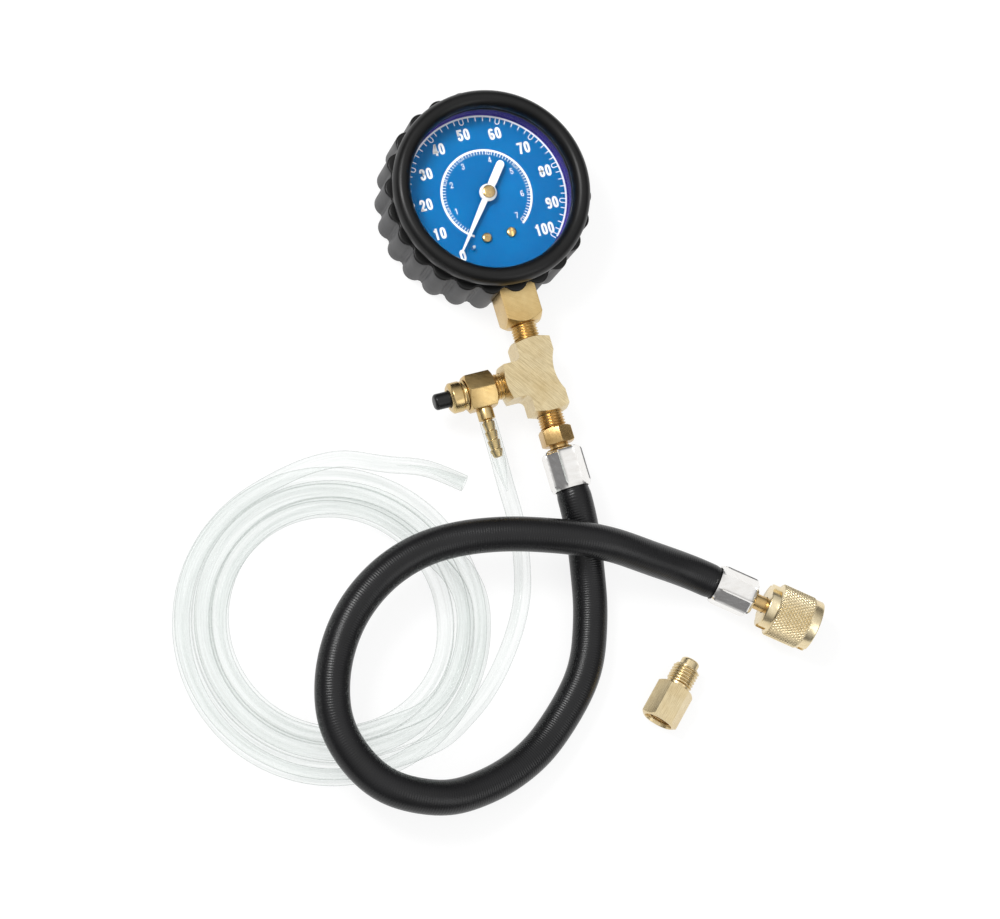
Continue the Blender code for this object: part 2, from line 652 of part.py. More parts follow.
def build_dial():
    """Dish-shaped dial with its two screws and the zero stop."""
    rim = CASE_INNER - SEAT
    base = DIAL_FACE - DIAL_THICK
    dial = turned("dial_plate", [
        (DIAL_HOLE, DIAL_FACE), (rim - 2 * DIAL_THICK, DIAL_FACE), (rim - DIAL_THICK, DIAL_FACE + DIAL_THICK),
        (rim - DIAL_THICK, CASE_RIM - SEAT), (rim, CASE_RIM - SEAT), (rim, DIAL_FACE + DIAL_THICK / 2),
        (rim - 1.5 * DIAL_THICK, base), (DIAL_HOLE, base)], DIAL_BLUE, steps=ROUND_LARGE, ring=True)
    stop = polar(STOP_CIRCLE, POINTER_ZERO_DEG + STOP_LEAD_DEG)
    pin_hole = rod("stop_hole", PIN_RADIUS + SEAT, 0.004, None, stop + UP * (base - 0.001))
    combine(dial, pin_hole, "DIFFERENCE")
    turned("stop_pin", [
        (0, STOP_TOP), (PIN_RADIUS, STOP_TOP), (PIN_RADIUS, base - SEAT),
        (2 * PIN_RADIUS, base - SEAT), (2 * PIN_RADIUS, base - SEAT - 0.0005), (0, base - SEAT - 0.0005)],
        STEEL, stop, UP, ROUND_PIN)
    post_top = base - SEAT
    for number, side in ((1, -1), (2, 1)):
        at = Vector((side * SCREW_X, SCREW_Y, 0))
        hole = rod("dial_screw_hole", SCREW_SHANK + SEAT, 0.004, None, at + UP * (base - 0.001), UP, ROUND_PIN)
        combine(dial, hole, "DIFFERENCE")
        screw = turned(f"dial_screw_{number}", [
            (0, DIAL_FACE + SEAT + 0.0009), (SCREW_HEAD - 0.0004, DIAL_FACE + SEAT + 0.0009),
            (SCREW_HEAD, DIAL_FACE + SEAT + 0.0005), (SCREW_HEAD, DIAL_FACE + SEAT),
            (SCREW_SHANK, DIAL_FACE + SEAT), (SCREW_SHANK, post_top - 0.0012), (0, post_top - 0.0012)],
            BRASS, at, UP, ROUND_SMALL)
        slot = box("dial_screw_slot", (0.005, 0.0005, 0.0008), at + UP * (DIAL_FACE + SEAT + 0.0009), None)
        combine(screw, slot, "DIFFERENCE")


def plate_outline():
    """Rounded outline of the movement's plates, over the arbor, the pivot and the screws."""
    foot_y = SOCKET_INNER + SEAT + PLATE_CORNER
    corners = (
        (Vector((SCREW_X, foot_y, 0)), PLATE_CORNER),
        (SECTOR_PIVOT, PLATE_BOSS),
        (Vector((0, 0, 0)), PLATE_BOSS),
        (Vector((-SCREW_X, foot_y, 0)), PLATE_CORNER),
    )
    outline = []
    count = len(corners)
    for index, (centre, radius) in enumerate(corners):
        before = corners[index - 1]
        after = corners[(index + 1) % count]
        start = tangent_degrees(before, (centre, radius))
        end = tangent_degrees((centre, radius), after)
        while end < start:
            end += 360.0
        outline.extend(arc(centre, radius, start, end, 6))
    return outline


def tangent_degrees(first, second):
    """Direction, from either centre, of the outer tangent that runs from one circle to the next."""
    (centre_a, radius_a), (centre_b, radius_b) = first, second
    line = centre_b - centre_a
    heading = math.degrees(math.atan2(line.y, line.x))
    lean = math.degrees(math.asin((radius_a - radius_b) / line.length))
    return heading - 90.0 + lean


def build_movement_plates():
    """Two plates, the lower one with its pillars and the upper one with the dial's posts."""
    holes = [Vector((0, 0, 0)), SECTOR_PIVOT]
    back = prism("movement_back_plate", plate_outline(), PLATE_THICK, BRASS, (0, 0, BACK_PLATE_BASE))
    front = prism("movement_front_plate", plate_outline(), PLATE_THICK, BRASS, (0, 0, FRONT_PLATE_BASE))
    for number, at in enumerate(holes):
        for plate, base in ((back, BACK_PLATE_BASE), (front, FRONT_PLATE_BASE)):
            hole = rod(f"pivot_hole_{number}", ARBOR_RADIUS + RUNNING, 0.004, None,
                       at + UP * (base - 0.001), UP, ROUND_PIN)
            combine(plate, hole, "DIFFERENCE")
    for side in (-1, 1):
        at = Vector((side * SCREW_X, SCREW_Y, 0))
        pillar_base = BACK_PLATE_BASE + PLATE_THICK / 2
        pillar = rod("pillar", PILLAR_RADIUS, FRONT_PLATE_BASE - SEAT - pillar_base, BRASS,
                     at + UP * pillar_base, UP, ROUND_PIN)
        combine(back, pillar, "UNION")
        post_base = FRONT_PLATE_BASE + PLATE_THICK / 2
        post_top = DIAL_FACE - DIAL_THICK - SEAT
        post = rod("post", PILLAR_RADIUS, post_top - post_base, BRASS, at + UP * post_base, UP, ROUND_PIN)
        combine(front, post, "UNION")
        tapped = rod("post_hole", SCREW_SHANK + SEAT, 0.004, None, at + UP * (post_top - 0.0015), UP, ROUND_PIN)
        combine(front, tapped, "DIFFERENCE")


def tooth_points(count_on_circle, first_deg, teeth, centre, thickness):
    """Outline points of spur teeth on a pitch circle, in order of rising angle."""
    pitch_radius = TOOTH_MODULE * count_on_circle / 2
    tip = pitch_radius + TOOTH_MODULE * 0.9
    root = pitch_radius - TOOTH_MODULE * 1.15
    pitch_deg = 360.0 / count_on_circle
    points = []
    for index in range(teeth):
        middle = first_deg + pitch_deg * index
        for radius, share in ((root, -0.36), (tip, -0.5 * thickness), (tip, 0.5 * thickness), (root, 0.36)):
            at = polar(radius, middle + share * pitch_deg)
            points.append((centre[0] + at.x, centre[1] + at.y))
    return points


def build_gears():
    """Pinion on the pointer's arbor and the sector that drives it."""
    pivot = SECTOR_PIVOT
    pitch_deg = 360.0 / SECTOR_CIRCLE_TEETH
    toward_arbor = SECTOR_PIVOT_DEG + 180.0
    turn_back = SECTOR_TRAVEL_DEG / 2
    first = toward_arbor - turn_back - pitch_deg * (SECTOR_CUT_TEETH - 1) / 2
    first = toward_arbor - pitch_deg * round((toward_arbor - first) / pitch_deg)
    teeth = tooth_points(SECTOR_CIRCLE_TEETH, first, SECTOR_CUT_TEETH, pivot, 0.30)
    hub = 0.0022
    tail = pivot + tail_direction() * TAIL_ARM
    hub_end = first + pitch_deg * (SECTOR_CUT_TEETH - 1)
    web = teeth + arc(pivot, hub, hub_end + 50, first + 310, 10)
    sector = prism("sector_gear", web, SECTOR_THICK, BRASS, (0, 0, SECTOR_BASE))
    eye = rod("sector_eye", 0.0013, SECTOR_THICK * 0.9, BRASS,
              tail + UP * (SECTOR_BASE + SECTOR_THICK * 0.05), UP, ROUND_SMALL)
    arm_middle = (pivot + tail) / 2
    arm = box("sector_arm", (TAIL_ARM, 0.0018, SECTOR_THICK * 0.8),
              arm_middle + UP * (SECTOR_BASE + SECTOR_THICK / 2), BRASS)
    arm.rotation_euler.z = math.atan2(tail.y - pivot.y, tail.x - pivot.x)
    combine(sector, arm, "UNION")
    combine(sector, eye, "UNION")
    pin = rod("sector_pin", PIN_RADIUS, SECTOR_THICK / 2 + 0.0022, BRASS,
              tail + UP * (SECTOR_BASE + SECTOR_THICK / 2), UP, ROUND_PIN)
    combine(sector, pin, "UNION")
    shaft_base = BACK_PLATE_BASE + PLATE_THICK * 0.25
    shaft_top = FRONT_PLATE_BASE + PLATE_THICK * 0.75
    shaft = rod("sector_shaft", ARBOR_RADIUS, shaft_top - shaft_base, BRASS, pivot + UP * shaft_base, UP, ROUND_PIN)
    combine(sector, shaft, "UNION")
    pinion_pitch = 360.0 / PINION_TEETH
    gap_toward_pivot = SECTOR_PIVOT_DEG + pinion_pitch / 2
    pinion_teeth = tooth_points(PINION_TEETH, gap_toward_pivot, PINION_TEETH, (0, 0), 0.30)
    pinion = prism("pinion_arbor", pinion_teeth, SECTOR_THICK + 0.0008, BRASS, (0, 0, SECTOR_BASE - 0.0004))
    arbor_base = BACK_PLATE_BASE + PLATE_THICK * 0.25
    arbor_top = POINTER_BASE + POINTER_BOSS_HIGH
    arbor = rod("arbor", ARBOR_RADIUS, arbor_top - arbor_base, BRASS, (0, 0, arbor_base), UP, ROUND_PIN)
    combine(pinion, arbor, "UNION")


def tail_direction():
    """Direction of the sector's tail, square to the link that pushes it at mid travel."""
    middle = SECTOR_TRAVEL_DEG / 2
    toward_tip = TIP_PIN_AT - SECTOR_PIVOT
    lean = math.asin(TAIL_ARM / toward_tip.length)
    heading = math.atan2(toward_tip.y, toward_tip.x) + math.pi / 2 - lean
    return polar(1.0, math.degrees(heading) - middle)


def build_bourdon():
    """Flattened C-shaped pressure tube, its tip block and the link to the sector's tail."""
    middle_z = BACK_PLATE_BASE + 0.0015 + TUBE_SECTION_TALL / 2
    half_wide = TUBE_SECTION_WIDE / 2
    half_tall = TUBE_SECTION_TALL / 2
    section = []
    sides = ROUND_PIN
    for index in range(sides):
        angle = math.tau * index / sides
        section.append((TUBE_ARC_RADIUS + half_wide * math.sin(angle), middle_z + half_tall * math.cos(angle)))
    mesh = bpy.data.meshes.new("bourdon_tube")
    shape = bmesh.new()
    rings = []
    steps = ROUND
    for index in range(steps + 1):
        degrees = TUBE_START_DEG + (TUBE_END_DEG - TUBE_START_DEG) * index / steps
        ring = []
        for radius, height in section:
            at = polar(radius, degrees)
            ring.append(shape.verts.new((at.x, at.y, height)))
        rings.append(ring)
    for first, second in zip(rings, rings[1:]):
        for index in range(sides):
            after = (index + 1) % sides
            shape.faces.new((first[index], first[after], second[after], second[index]))
    shape.faces.new(list(reversed(rings[0])))
    shape.faces.new(rings[-1])
    bmesh.ops.recalc_face_normals(shape, faces=shape.faces)
    shape.to_mesh(mesh)
    shape.free()
    add_object("bourdon_tube", mesh, BRASS)

    tail = SECTOR_PIVOT + tail_direction() * TAIL_ARM
    inset = (TIP_WIDTH - TUBE_SECTION_WIDE) / 2
    tip_centre = TUBE_TIP + TIP_ALONG * (SEAT + TIP_LENGTH / 2) + TIP_INWARD * inset
    link_base = SECTOR_BASE + SECTOR_THICK + 0.0006
    block_top = link_base - SEAT
    block = box("tube_tip", (TIP_WIDTH, TIP_LENGTH, block_top - SECTOR_BASE + 0.001),
                tip_centre + UP * (block_top + SECTOR_BASE - 0.001) / 2, BRASS)
    block.rotation_euler.z = math.radians(TUBE_END_DEG)
    post = rod("tip_pin", PIN_RADIUS, 0.0026, BRASS, TIP_PIN_AT + UP * (block_top - 0.001), UP, ROUND_PIN)
    combine(block, post, "UNION")

    reach = TIP_PIN_AT - tail
    heading = math.degrees(math.atan2(reach.y, reach.x))
    half = 0.0009
    link = prism("link", [(0, -half), (reach.length, -half), (reach.length, half), (0, half)],
                 LINK_THICK, BRASS, (0, 0, 0))
    link.location = tail + UP * (link_base + LINK_THICK / 2)
    link.rotation_euler.z = math.radians(heading)
    for at in (tail, TIP_PIN_AT):
        eye = rod("link_eye", LINK_EYE, LINK_THICK * 0.96, BRASS, at + UP * (link_base + LINK_THICK * 0.02), UP, ROUND_SMALL)
        combine(link, eye, "UNION")
    for at in (tail, TIP_PIN_AT):
        hole = rod("link_hole", PIN_RADIUS + RUNNING, 0.003, None, at + UP * (link_base - 0.001), UP, ROUND_PIN)
        combine(link, hole, "DIFFERENCE")


def build_pointer():
    """Pointer with a paddle tail and a raised boss, and the slotted cap on its hub."""
    half_tip = POINTER_TIP_WIDTH / 2
    half_root = POINTER_ROOT_WIDTH / 2
    half_tail = POINTER_TAIL_WIDTH / 2
    outline = [
        (POINTER_LENGTH, -half_tip), (POINTER_LENGTH, half_tip), (0, half_root),
        (-POINTER_TAIL * 0.35, half_tail)]
    outline += arc((-POINTER_TAIL + half_tail, 0), half_tail, 90, 270, 6)
    outline += [(-POINTER_TAIL * 0.35, -half_tail), (0, -half_root)]
    pointer = prism("pointer", outline, POINTER_THICK, WHITE_PAINT, (0, 0, POINTER_BASE))
    pointer.rotation_euler.z = math.radians(POINTER_ZERO_DEG)
    boss = turned("pointer_boss", [
        (0, POINTER_BASE + POINTER_BOSS_HIGH), (POINTER_BOSS - 0.0004, POINTER_BASE + POINTER_BOSS_HIGH),
        (POINTER_BOSS, POINTER_BASE + POINTER_BOSS_HIGH - 0.0004), (POINTER_BOSS, POINTER_BASE + 0.0001),
        (0, POINTER_BASE + 0.0001)], WHITE_PAINT)
    combine(pointer, boss, "UNION")
    hole = rod("pointer_hole", ARBOR_RADIUS + SEAT, 0.004, None, (0, 0, POINTER_BASE - 0.001), UP, ROUND_PIN)
    combine(pointer, hole, "DIFFERENCE")
    cap_base = POINTER_BASE + POINTER_BOSS_HIGH + SEAT
    cap = turned("pointer_cap", [
        (0, cap_base + CAP_THICK), (CAP_RADIUS - 0.0003, cap_base + CAP_THICK),
        (CAP_RADIUS, cap_base + CAP_THICK - 0.0003), (CAP_RADIUS, cap_base), (0, cap_base)], BRASS)
    slot = box("cap_slot", (3 * CAP_RADIUS, CAP_SLOT, 0.0008), (0, 0, cap_base + CAP_THICK), None)
    slot.rotation_euler.z = math.radians(40)
    combine(cap, slot, "DIFFERENCE")


def build_socket():
    """Brass socket: block inside the case, neck, square for the spanner and pipe thread."""
    square_start = -CASE_RADIUS - SEAT
    block_top = DIAL_FACE - DIAL_THICK - 2 * SEAT
    wall_face = SEAT - math.sqrt(CASE_INNER ** 2 - SOCKET_HALF ** 2)
    socket = box("socket_stem", (STEM_SQUARE, square_start - STEM_END, STEM_SQUARE),
                 (0, (square_start + STEM_END) / 2, AXIS_Z), BRASS)
    round_edges(socket, 0.0005, 40.0, 2)
    neck_start = -CASE_INNER
    neck = rod("socket_neck", NECK_RADIUS, neck_start - square_start + 0.0010, BRASS,
               (0, neck_start, AXIS_Z), NEGATIVE_Y, ROUND)
    bridge_low = AXIS_Z - NECK_RADIUS * 0.72
    bridge = box("socket_bridge", (1.3 * NECK_RADIUS, wall_face - square_start + 0.0010, block_top - bridge_low),
                 (0, (wall_face + square_start) / 2, (block_top + bridge_low) / 2), BRASS)
    combine(neck, bridge, "UNION")
    block = box("socket_block", (2 * SOCKET_HALF, SOCKET_INNER - wall_face, block_top - SOCKET_BACK),
                (0, (wall_face + SOCKET_INNER) / 2, (block_top + SOCKET_BACK) / 2), BRASS)
    combine(neck, block, "UNION")
    combine(socket, neck, "UNION")
    length = STEM_END - TEE_TOP + THREAD_ENGAGED
    thread = turned("socket_thread", [(0, length)] + threaded(THREAD_RADIUS, length, -0.0010) + [(0, -0.0010)],
                    BRASS, (0, STEM_END, AXIS_Z), NEGATIVE_Y)
    combine(socket, thread, "UNION")
    bore_start = SOCKET_INNER - 0.0030
    bore_length = bore_start - STEM_END + length + 0.0010
    bore = rod("socket_bore", FLUID_BORE, bore_length, None,
               (0, bore_start, AXIS_Z - SOCKET_BORE_DROP), NEGATIVE_Y, ROUND_PIN)
    combine(socket, bore, "DIFFERENCE")
    for side in (-1, 1):
        hole = rod("case_screw_hole", CASE_SCREW_SHANK + SEAT, CASE_SCREW_LENGTH, None,
                   (side * CASE_SCREW_X, CASE_SCREW_Y, CASE_FLOOR + SEAT))
        combine(socket, hole, "DIFFERENCE")


def tee_outline():
    """Extruded outline of the tee: two bosses on the run, a waist on the right, an arm on the left."""
    half = TEE_WIDTH / 2
    left = -half - TEE_FILLET
    arm_top = TEE_CENTRE_Y + half
    arm_bottom = TEE_CENTRE_Y - half
    recess_half = TEE_RUN / 2 - TEE_BOSS
    depth = half - TEE_WAIST
    recess_radius = (recess_half ** 2 + depth ** 2) / (2 * depth)
    sweep = math.degrees(math.asin(recess_half / recess_radius))
    recess_centre = (TEE_WAIST + recess_radius, TEE_CENTRE_Y)
    outline = [(-half, TEE_BOTTOM), (half, TEE_BOTTOM)]
    outline += arc(recess_centre, recess_radius, 180 + sweep, 180 - sweep, 10)
    outline += [(half, TEE_TOP), (-half, TEE_TOP)]
    outline += arc((left, arm_top + TEE_FILLET), TEE_FILLET, 0, -90, 5)
    outline += [(TEE_ARM_END, arm_top), (TEE_ARM_END, arm_bottom)]
    outline += arc((left, arm_bottom - TEE_FILLET), TEE_FILLET, 90, 0, 5)
    return outline


def build_tee():
    """Brass tee cut from extruded bar, with turned cones, ports and passages."""
    tee = prism("tee_body", tee_outline(), TEE_THICK, BRASS, (0, 0, AXIS_Z - TEE_THICK / 2))
    round_edges(tee, BEVEL_SMALL, 40.0, 2)
    ports = (
        (Vector((0, TEE_TOP, AXIS_Z)), POSITIVE_Y),
        (Vector((0, TEE_BOTTOM, AXIS_Z)), NEGATIVE_Y),
        (Vector((TEE_ARM_END, TEE_CENTRE_Y, AXIS_Z)), NEGATIVE_X),
    )
    corner = math.hypot(TEE_WIDTH, TEE_THICK) / 2
    clear = corner + 0.0020
    for at, outward in ports:
        cone = turned("tee_cone", [
            (TEE_CHAMFER_FACE, 0), (TEE_CHAMFER_FACE, 0.0010), (clear, 0.0010), (clear, -TEE_CHAMFER),
            (corner, -TEE_CHAMFER)], None, at, outward, ring=True)
        combine(tee, cone, "DIFFERENCE")
    lead = 0.0015
    run = turned("tee_run_bore", [
        (0, TEE_RUN + lead), (PORT_BORE, TEE_RUN + lead), (PORT_BORE, TEE_RUN - TEE_PORT_DEPTH),
        (TEE_PASSAGE, TEE_RUN - TEE_PORT_DEPTH - lead), (TEE_PASSAGE, TEE_PORT_DEPTH + lead),
        (PORT_BORE, TEE_PORT_DEPTH), (PORT_BORE, -lead), (0, -lead)],
        None, ports[0][0], NEGATIVE_Y)
    combine(tee, run, "DIFFERENCE")
    branch = turned("tee_arm_bore", [
        (0, -TEE_ARM_END), (TEE_PASSAGE, -TEE_ARM_END), (TEE_PASSAGE, TEE_PORT_DEPTH + lead),
        (PORT_BORE, TEE_PORT_DEPTH), (PORT_BORE, -lead), (0, -lead)],
        None, ports[2][0], POSITIVE_X)
    combine(tee, branch, "DIFFERENCE")


def build_valve():
    """Bleed valve in the tee's arm: body, cap, button, rod with its poppet, seal and spring."""
    start = Vector((VALVE_HEX_START, TEE_CENTRE_Y, AXIS_Z))
    hex_length = VALVE_HEX_START - VALVE_HEX_END
    body = hexagon("valve_body", VALVE_HEX_FLATS, hex_length, BRASS, start, NEGATIVE_X)
    spigot = VALVE_HEX_START - VALVE_SPIGOT_END
    thread_end = VALVE_HEX_START - (TEE_ARM_END + THREAD_ENGAGED)
    core = turned("valve_core", [(0, spigot), (VALVE_SPIGOT, spigot), (VALVE_SPIGOT, 0.0030)]
                  + threaded(THREAD_RADIUS, thread_end, 0.0030) + [(0, thread_end)],
                  BRASS, start, NEGATIVE_X)
    combine(body, core, "UNION")
    shoulder = VALVE_HEX_START - VALVE_SHOULDER_X
    seat_at = VALVE_HEX_START - VALVE_SEAT_X
    bore = turned("valve_bore", [
        (0, spigot + 0.001), (VALVE_CHAMBER, spigot + 0.001), (VALVE_CHAMBER, shoulder),
        (VALVE_SEAT_BORE, shoulder), (VALVE_SEAT_BORE, seat_at), (VALVE_THREAD_BORE, seat_at),
        (VALVE_THREAD_BORE, thread_end - 0.001), (0, thread_end - 0.001)], None, start, NEGATIVE_X)
    combine(body, bore, "DIFFERENCE")
    barb_port = rod("barb_port", BARB_SPIGOT + SEAT, VALVE_HEX_FLATS / 2, None,
                    (BARB_X, TEE_CENTRE_Y - VALVE_CHAMBER * 0.6, AXIS_Z), NEGATIVE_Y)
    combine(body, barb_port, "DIFFERENCE")

    cap_at = Vector((VALVE_HEX_END - SEAT, TEE_CENTRE_Y, AXIS_Z))
    cap_length = cap_at.x - VALVE_CAP_END
    cap_bore = VALVE_SPIGOT + SEAT
    hole = BUTTON_RADIUS + RUNNING
    neck = VALVE_CAP_RADIUS - VALVE_CAP_GROOVE
    turned("valve_cap", [
        (hole, cap_length), (VALVE_CAP_RADIUS - 0.0009, cap_length), (VALVE_CAP_RADIUS, cap_length - 0.0009),
        (VALVE_CAP_RADIUS, 0.0016), (neck, 0.0013), (neck, 0.0006), (VALVE_CAP_RADIUS, 0.0003),
        (VALVE_CAP_RADIUS, 0), (cap_bore, 0), (cap_bore, cap_length - VALVE_CAP_LIP),
        (hole, cap_length - VALVE_CAP_LIP)], BRASS, cap_at, NEGATIVE_X, ring=True)

    flange_face = VALVE_CAP_END + VALVE_CAP_LIP + RUNNING + BUTTON_FLANGE_THICK
    button_length = flange_face - BUTTON_END
    flange = VALVE_CHAMBER - RUNNING
    turned("valve_button", [
        (0, button_length), (BUTTON_RADIUS - 0.0006, button_length), (BUTTON_RADIUS, button_length - 0.0006),
        (BUTTON_RADIUS, BUTTON_FLANGE_THICK), (flange, BUTTON_FLANGE_THICK), (flange, 0), (0, 0)],
        BLACK_PLASTIC, (flange_face, TEE_CENTRE_Y, AXIS_Z), NEGATIVE_X)

    seal_at = VALVE_SEAT_X + SEAT + SEAL_THICK
    poppet_at = seal_at + SEAT + POPPET_THICK
    rod_length = poppet_at - flange_face - SEAT
    turned("valve_stem", [
        (0, rod_length), (VALVE_ROD, rod_length), (VALVE_ROD, POPPET_THICK), (POPPET_RADIUS, POPPET_THICK),
        (POPPET_RADIUS, 0), (0, 0)], STEEL, (poppet_at, TEE_CENTRE_Y, AXIS_Z), NEGATIVE_X, ROUND_SMALL)
    turned("valve_seal", [
        (VALVE_ROD + SEAT, SEAL_THICK), (POPPET_RADIUS, SEAL_THICK), (POPPET_RADIUS, 0), (VALVE_ROD + SEAT, 0)],
        SEAL_RUBBER, (seal_at, TEE_CENTRE_Y, AXIS_Z), NEGATIVE_X, ROUND_SMALL, ring=True)

    first = VALVE_SHOULDER_X - SEAT - SPRING_WIRE / 2
    last = flange_face + SEAT + SPRING_WIRE / 2
    points = []
    count = SPRING_TURNS * ROUND_PIN
    for index in range(count + 1):
        angle = math.tau * index / ROUND_PIN
        points.append((first + (last - first) * index / count,
                       TEE_CENTRE_Y + SPRING_RADIUS * math.cos(angle),
                       AXIS_Z + SPRING_RADIUS * math.sin(angle)))
    tube("valve_spring", points, SPRING_WIRE / 2, STEEL, 0)


def build_barb():
    """Barb for the drain tube, screwed into a flat of the valve's hexagon."""
    start_y = TEE_CENTRE_Y - VALVE_CHAMBER - SEAT
    flat = start_y - (TEE_CENTRE_Y - VALVE_HEX_FLATS / 2)
    length = start_y - BARB_END
    covered = length - BARB_COVERED
    pitch = BARB_COVERED / BARB_RINGS
    profile = [(0, length), (BARB_ROOT - 0.0003, length)]
    for index in range(BARB_RINGS):
        top = length - pitch * index
        profile.append((BARB_CREST, top - pitch * 0.72))
        profile.append((BARB_ROOT, top - pitch * 0.86))
    profile += [(BARB_ROOT, covered), (BARB_SHANK, covered - 0.0003), (BARB_SHANK, flat + SEAT),
                (BARB_SPIGOT, flat + SEAT), (BARB_SPIGOT, 0), (0, 0)]
    profile = [point for number, point in enumerate(profile) if number == 0 or point != profile[number - 1]]
    barb = turned("hose_barb", profile, BRASS, (BARB_X, start_y, AXIS_Z), NEGATIVE_Y, ROUND_SMALL)
    bore = rod("barb_bore", BARB_BORE, length + 0.002, None, (BARB_X, start_y + 0.001, AXIS_Z), NEGATIVE_Y, ROUND_PIN)
    combine(barb, bore, "DIFFERENCE")


def build_drain_tube():
    """Clear drain tube: its lead over the barb, its coil and its free end."""
    mouth = BARB_END + BARB_COVERED - SEAT
    tip = BARB_END - SEAT
    route = [(BARB_X, mouth, AXIS_Z), (BARB_X, (mouth + tip) / 2, AXIS_Z), (BARB_X, tip, AXIS_Z - 0.0003)]
    lead = tube("bleed_tube_lead", smooth_route(route + list(LEAD_ROUTE), CORD_STEP * TUBE_RADIUS), TUBE_RADIUS, CLEAR_VINYL)
    lead = solidified(lead, CLEAR_VINYL)
    socket = rod("lead_socket", BARB_CREST + SEAT, mouth - tip + 0.002, None,
                 (BARB_X, mouth + 0.002, AXIS_Z), NEGATIVE_Y)
    combine(lead, socket, "DIFFERENCE")
    inner = COIL_OUTER - COIL_WIDTH
    profile = (
        arc((COIL_OUTER - TUBE_RADIUS, COIL_HEIGHT - TUBE_RADIUS), TUBE_RADIUS, 90, 0, 1)
        + arc((COIL_OUTER - TUBE_RADIUS, TUBE_RADIUS), TUBE_RADIUS, 0, -90, 1)
        + arc((inner + TUBE_RADIUS, TUBE_RADIUS), TUBE_RADIUS, -90, -180, 1)
        + arc((inner + TUBE_RADIUS, COIL_HEIGHT - TUBE_RADIUS), TUBE_RADIUS, 180, 90, 1))
    turned("bleed_tube_coil", profile, CLEAR_VINYL, (*COIL_CENTRE, 0), UP, ROUND_LARGE, ring=True)
    tube("bleed_tube_tail", smooth_route(TAIL_ROUTE, CORD_STEP * TUBE_RADIUS), TUBE_RADIUS, CLEAR_VINYL)


def build_ferrule(name, end_name, origin, direction):
    """Crimped ferrule with flats, and the end of the hose inside it."""
    apothem = FERRULE_BORE + FERRULE_WALL
    corner = apothem / math.cos(math.pi / FERRULE_FACETS)
    ferrule = turned(name, [
        (0, FERRULE_LENGTH), (corner, FERRULE_LENGTH), (corner, 0.0012), (corner - 0.0010, 0), (0, 0)],
        NICKEL, origin, direction, FERRULE_FACETS)
    bore = turned(name + "_bore", [
        (0, FERRULE_LENGTH + 0.001), (FERRULE_BORE, FERRULE_LENGTH + 0.001), (FERRULE_BORE, FERRULE_LIP),
        (NIPPLE_NECK + SEAT, FERRULE_LIP), (NIPPLE_NECK + SEAT, -0.001), (0, -0.001)],
        None, origin, direction)
    combine(ferrule, bore, "DIFFERENCE")
    inner = NIPPLE_STEM + SEAT
    base = FERRULE_LIP + SEAT
    turned(end_name, [
        (inner, FERRULE_LENGTH), (HOSE_CRIMPED, FERRULE_LENGTH), (HOSE_CRIMPED, base), (inner, base)],
        HOSE_RUBBER, origin, direction, ring=True)


def build_hose():
    """Nipple, near ferrule, hose and far ferrule."""
    start = Vector((0, NIPPLE_HEX_START, AXIS_Z))
    nipple = hexagon("hose_nipple", NIPPLE_HEX_FLATS, NIPPLE_HEX_START - NIPPLE_HEX_END, BRASS, start, NEGATIVE_Y)
    thread_end = NIPPLE_HEX_START - (TEE_BOTTOM + THREAD_ENGAGED)
    neck_end = NIPPLE_HEX_START - FERRULE_START + FERRULE_LIP
    stem_end = neck_end + FERRULE_LENGTH - FERRULE_LIP - 0.0010
    core = turned("nipple_core", [
        (0, stem_end), (NIPPLE_STEM, stem_end), (NIPPLE_STEM, neck_end), (NIPPLE_NECK, neck_end),
        (NIPPLE_NECK, 0.0030)] + threaded(THREAD_RADIUS, thread_end, 0.0030) + [(0, thread_end)],
        BRASS, start, NEGATIVE_Y)
    combine(nipple, core, "UNION")
    bore = rod("nipple_bore", FLUID_BORE, stem_end - thread_end + 0.002, None,
               (0, NIPPLE_HEX_START - thread_end + 0.001, AXIS_Z), NEGATIVE_Y, ROUND_PIN)
    combine(nipple, bore, "DIFFERENCE")
    build_ferrule("ferrule_near", "hose_end_near", (0, FERRULE_START, AXIS_Z), NEGATIVE_Y)

    heading = polar(1.0, COUPLING_HEADING_DEG)
    far_mouth = Vector(COUPLING_AT)
    far_end = far_mouth + heading * FERRULE_LENGTH
    build_ferrule("ferrule_far", "hose_end_far", far_end, -heading)
    near_mouth = Vector((0, FERRULE_START - FERRULE_LENGTH - SEAT, AXIS_Z))
    far_face = far_mouth - heading * SEAT
    straight = HOSE_RADIUS / 2
    route = [near_mouth + NEGATIVE_Y * straight, *HOSE_ROUTE, far_face - heading * straight]
    points = [near_mouth] + smooth_route(route, CORD_STEP * HOSE_RADIUS) + [far_face]
    tube("hose", points, HOSE_RADIUS, HOSE_RUBBER, 4)


def knurl_profile(bottom):
    """Rows of points down the knurled band, from its top to the given bottom."""
    step = NUT_KNURL / KNURL_ROWS
    return [(NUT_KNURL_RADIUS, bottom + NUT_KNURL - step * row) for row in range(KNURL_ROWS + 1)]


